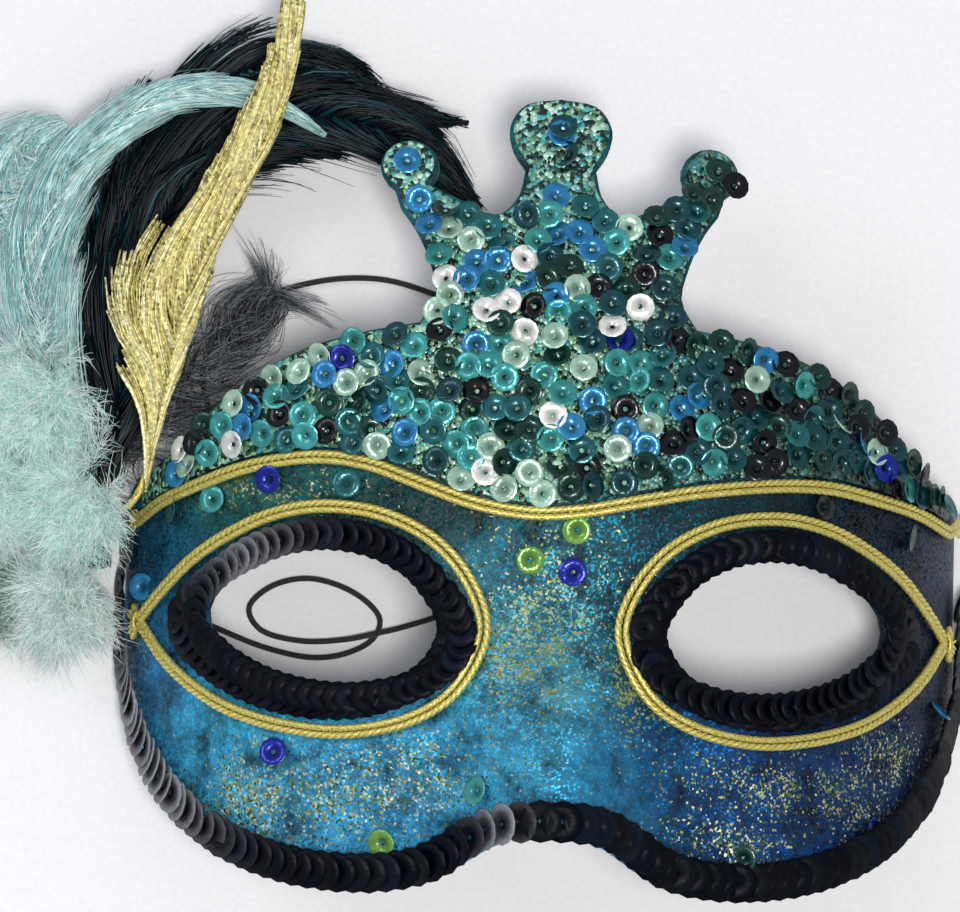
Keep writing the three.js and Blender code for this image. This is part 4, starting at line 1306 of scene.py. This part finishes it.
# %% Ostrich plume
PLUMES = {
    "upper": (2.6, [(-88.4, 20.4, 3), (-96, 38, 12), (-102, 58, 13), (-101.5, 76, 12),
                    (-95, 90, 9), (-86, 98.5, 7), (-76, 104, 6), (-65, 105, 5), (-55, 102, 3),
                    (-46, 96.8, 0.6)]),
    "middle": (0.4, [(-88.8, 20.4, 3), (-98, 34, 16), (-107, 50, 24), (-111, 66, 27), (-111, 79, 24),
                     (-104.5, 90.5, 15), (-97, 97, 4)]),
    "lower": (-1.8, [(-90.6, 22, 3), (-99, 27.4, 12), (-110, 35, 18), (-118, 46, 20), (-122, 58, 17),
                     (-122, 68, 8)]),
}
SEA_TONES = ["#b4d8d4", "#96cacb", "#dceeea", "#68adb0", "#34808a"]
for label, (height, spine) in PLUMES.items():
    barb_count = 2100
    lines, where = vane(spine, height, rng, barb_count, sweep=2.4, locks=30, curl=2.6,
                               thick=2.2, ragged=0.35, steps=7, bow=0.7, overrun=0.1,
                               scatter=2.6, pointed=True)
    fibres(f"ostrich_plume_{label}_barbs", "ostrich_plume", ostrich_dye, "ostrich_feather",
           [f"ostrich_plume_{label}"], [
        quill(spine, height, 0.7, "#8fb0ac"),
        (lines, taper(barb_count, 7, 0.15, 0.3),
         dyed(SEA_TONES, [0.32, 0.27, 0.25, 0.11, 0.05], rng, where, 0.9), 3, 1.0),
    ])

# %% [markdown]
# ## The gold feather
# One stripped goose feather, sprayed gold and dipped in glitter, stands in front. Its barbs are
# glued by the paint into stiff ridges. The right edge is smooth, and the left edge is torn.

# %% Gold feather
GOLD_HEIGHT, QUILL_HEIGHT = 11.2, 9.6
GOLD_SPINE = [(-79.8, 25.4, 2.2), (-78.9, 34, 3.2), (-78.2, 42, 5.5), (-78, 51, 11), (-78, 58, 15.5),
              (-76.4, 65, 15.5), (-71.6, 74, 11), (-66.8, 81.5, 7.6), (-62.8, 89, 6.8),
              (-58.8, 97, 6.2), (-55.8, 105, 5.2), (-54, 113, 4.6), (-52.8, 122, 3.6)]
GOLD_QUILL = [(-86.2, 20.6), (-82.4, 22.6), (-79.6, 27.6), (-78.2, 36), (-76.6, 46), (-75.4, 56),
              (-73.4, 66), (-68.8, 77), (-63.2, 89), (-58.6, 99), (-55.6, 109), (-53.2, 121)]
print("gold feather, widest mm:", max(width for _, _, width in GOLD_SPINE))

# %% Gold spray paint
gilt, tree, feed = new_material("gold spray paint with glitter", Roughness=0.5)
flakes, lot = cells(tree, mask_millimetres(tree), 0.5)
dye = attribute(tree, "dye")
feed("Base Color", scaled(tree, dye, mapped(tree, lot["Red"], 0.0, 1.0, 0.6, 1.35)))
feed("Metallic", calculated(tree, "GREATER_THAN", lot["Green"], 0.72))
feed("Normal", flake_normal(tree, flakes.outputs["Color"], 0.5))

print("gilt material:", gilt.name)

# %% Lay the gold feather's barbs
GILT_TONES = ["#d8ce88", "#c6ba70", "#eee8b8", "#a89a50"]
batches = []
for side, count, ragged in ((-1, 800, 0.04), (1, 1400, 0.2)):
    lines, where = vane(GOLD_SPINE, GOLD_HEIGHT, rng, count, sweep=2.8, locks=60,
                                  curl=0.5, thick=0.5, ragged=ragged, sides_used=(side,),
                                  start=0.0, bow=0.8, overrun=0.2, lean=0.55)
    tints = dyed(GILT_TONES, [0.4, 0.28, 0.22, 0.1], rng, where, 0.85, 0.12)
    batches.append((lines, taper(count, 7, 0.36, 0.5), tints, 4, 0.6))
fibres("gold_feather_barbs", "gold_feather", gilt, "gold_feather", ["gold_feather_vane"], batches)
fibres("gold_feather_shaft", "gold_feather", gilt, "gold_feather", ["gold_feather_quill"],
       [quill(GOLD_QUILL, QUILL_HEIGHT, 0.8, "#d8c86a", 80)])

# %% [markdown]
# ## Marabou tufts
# Marabou is down: each filament is weak and carries its own fluff, so a tuft has no edge and runs
# into the next. The plumelets here start all through the tuft, and are combed outwards and down.

# %% Tufts
TUFTS = [                                     # node, middle, radii, how many, tones, slot
    ("marabou_tuft_upper", (-101, 43.5, 30.5), (12.5, 14.5, 6.5), 6500, "pale", "marabou_fluff"),
    ("marabou_tuft_outer", (-114, 24, 25.5), (16, 13.5, 7), 6500, "pale", "marabou_fluff"),
    ("marabou_tuft_inner", (-92.6, 23, 27.5), (10, 13, 6), 6400, "pale", "marabou_fluff"),
    ("marabou_tuft_lower", (-94.4, 4.4, 16), (11, 11.5, 9), 6000, "white", "marabou_fluff"),
    ("olive_tuft", (-112.5, 6, 10.4), (10, 9.5, 7.4), 4400, "olive", "olive_fluff"),
]
DOWN_TONES = {
    "pale": (["#bfdfda", "#dcefeb", "#8fc6c4", "#f2faf8"], [0.34, 0.3, 0.2, 0.16]),
    "white": (["#ccdfdb", "#eef5f3", "#a8cac6", "#8aaeaa"], [0.35, 0.35, 0.2, 0.1]),
    "olive": (["#8fb0a0", "#5a7a68", "#a8c2b6", "#3f5c4c"], [0.35, 0.25, 0.25, 0.15]),
}
FLUFF_EDGE = [(-20, -79), (20, -80), (30, -83), (40, -85), (47, -88), (53, -91.5), (60, -94.5)]
FALL = (-0.35, -0.5, 0.1)                     # the way the fluff was combed: outwards and down


print("hairs in the tufts:", sum(count for _, _, _, count, _, _ in TUFTS))


# %% Comb the tufts
def tuft(middle, radii, count, rng, steps=5, shafts=110):
    """Hairs along curved plumelets that start all through a tuft and are combed one way."""
    start = rng.normal(0, 1, (shafts, 3))
    start *= (rng.random((shafts, 1)) ** 0.4) * 0.62 / np.linalg.norm(start, axis=1, keepdims=True)
    way = start + FALL + rng.normal(0, 0.3, (shafts, 3))
    way /= np.linalg.norm(way, axis=1, keepdims=True)
    bend = rng.normal(0, 0.3, (shafts, 3))
    which = rng.integers(0, shafts, count)
    reach = rng.uniform(0.3, 0.65, shafts)[which, None]
    t = rng.uniform(0.0, 1.0, (count, 1))
    on_shaft = start[which] + (way[which] * t + bend[which] * t ** 2) * reach
    heading = way[which] + 2 * bend[which] * t
    heading /= np.linalg.norm(heading, axis=1, keepdims=True)
    aside = rng.normal(0, 1, (count, 3))
    aside -= heading * np.sum(aside * heading, axis=1, keepdims=True)
    aside /= np.linalg.norm(aside, axis=1, keepdims=True)
    s = np.linspace(0, 1, steps)[None, :, None]
    far = rng.uniform(2.5, 6.5, (count, 1, 1))
    curl = rng.normal(0, 1.6, (count, 1, 3))
    hair = (aside[:, None] * (0.7 * s - 0.2 * s ** 2) + heading[:, None] * 0.8 * s ** 1.3) * far
    line = on_shaft[:, None] * np.asarray(radii) + np.asarray(middle) + hair + curl * s ** 2
    line[..., 2] = np.maximum(line[..., 2], 0.3)
    # Hairs deep in the tuft and near their roots are coloured darker: painted shade inside the fluff.
    depth = np.clip(0.35 + 0.5 * on_shaft[:, 2:3] + 0.3 * s[..., 0], 0, 1)
    edge = np.interp(line[..., 1], *np.transpose(FLUFF_EDGE))
    clear = (line[..., 0] < edge).all(axis=1)             # the gold feather needs room to sway
    return to_frame(line[clear]), depth[clear]


rng = np.random.default_rng(71)
for node, middle, radii, count, tones, slot_name in TUFTS:
    lines, where = tuft(middle, radii, count, rng)
    fibres(f"{node}_fibres", "mask", marabou_dye, slot_name, [node], [
        (lines, taper(len(lines), 5, 0.08, 0.4), dyed(*DOWN_TONES[tones], rng, where, 0.7), 3, 1.0)])

# %% [markdown]
# ## Where the plume is fixed
# The quills are gathered and whipped with dark thread, and glued on an oval of felt at the temple.
# The whipping is a flattened core with one long thread wound round it, turn beside turn.

# %% Plume base
BASE_MIDDLE, BASE_RADII, BASE_THICK = (-103.0, 17.4), (5.4, 7.0), 1.0
turn = np.linspace(0, 2 * np.pi, 41)[:-1]
base_outline = np.c_[BASE_MIDDLE[0] + BASE_RADII[0] * np.cos(turn),
                     BASE_MIDDLE[1] + BASE_RADII[1] * np.sin(turn)]
base = cut_sheet("plume_base_felt", base_outline, [], 2.5)
press(base, 0.5 + BASE_THICK, BASE_THICK)
dress(base, "mask", felt, "felt", "plume_base")

print("felt base faces:", len(base.data.polygons))

# %% Thread whipping
BIND_MIDDLE, BIND_RADIUS, BIND_FLATTEN, BIND_LENGTH = (-89.4, 14.4, 12.6), 3.2, 2.2, 9.0
THREAD = 0.55
thread, tree, feed = new_material("waxed polyester thread", Roughness=0.5)
twist = noise(tree, mask_millimetres(tree), 3.0, 2.0)
feed("Base Color", tone(tree, twist, [(0.35, "#060a14"), (0.7, "#1c2c44")]))
bpy.ops.object.select_all(action="DESELECT")
bpy.ops.mesh.primitive_cylinder_add(vertices=28, radius=BIND_RADIUS - THREAD / 2, depth=BIND_LENGTH)
core = bpy.context.object
bpy.ops.object.mode_set(mode="EDIT")
bpy.ops.mesh.select_all(action="SELECT")
bpy.ops.mesh.bevel(offset=0.8, segments=3, affect="EDGES")
bpy.ops.object.mode_set(mode="OBJECT")
x, y, z = mesh_points(core.data).T
core_part = (to_frame(np.c_[x, z, -y * BIND_FLATTEN] + BIND_MIDDLE),
             [list(f.vertices) for f in core.data.polygons])
bpy.data.objects.remove(core)
turns = BIND_LENGTH / THREAD - 1
s = np.linspace(0, 1, int(turns * 26))
winding = np.c_[BIND_RADIUS * np.cos(2 * np.pi * turns * s), (s - 0.5) * (BIND_LENGTH - THREAD),
                BIND_RADIUS * BIND_FLATTEN * np.sin(2 * np.pi * turns * s)]
wound = tubes(to_frame(winding + BIND_MIDDLE)[None], np.full((1, len(s)), THREAD / 2 * MM),
              6, 1.0, (0, 1, 0))
mesh_piece("thread_whipping", *joined([core_part, wound]), "mask", thread, "thread",
           "quill_binding")
print("whipping turns:", round(turns))
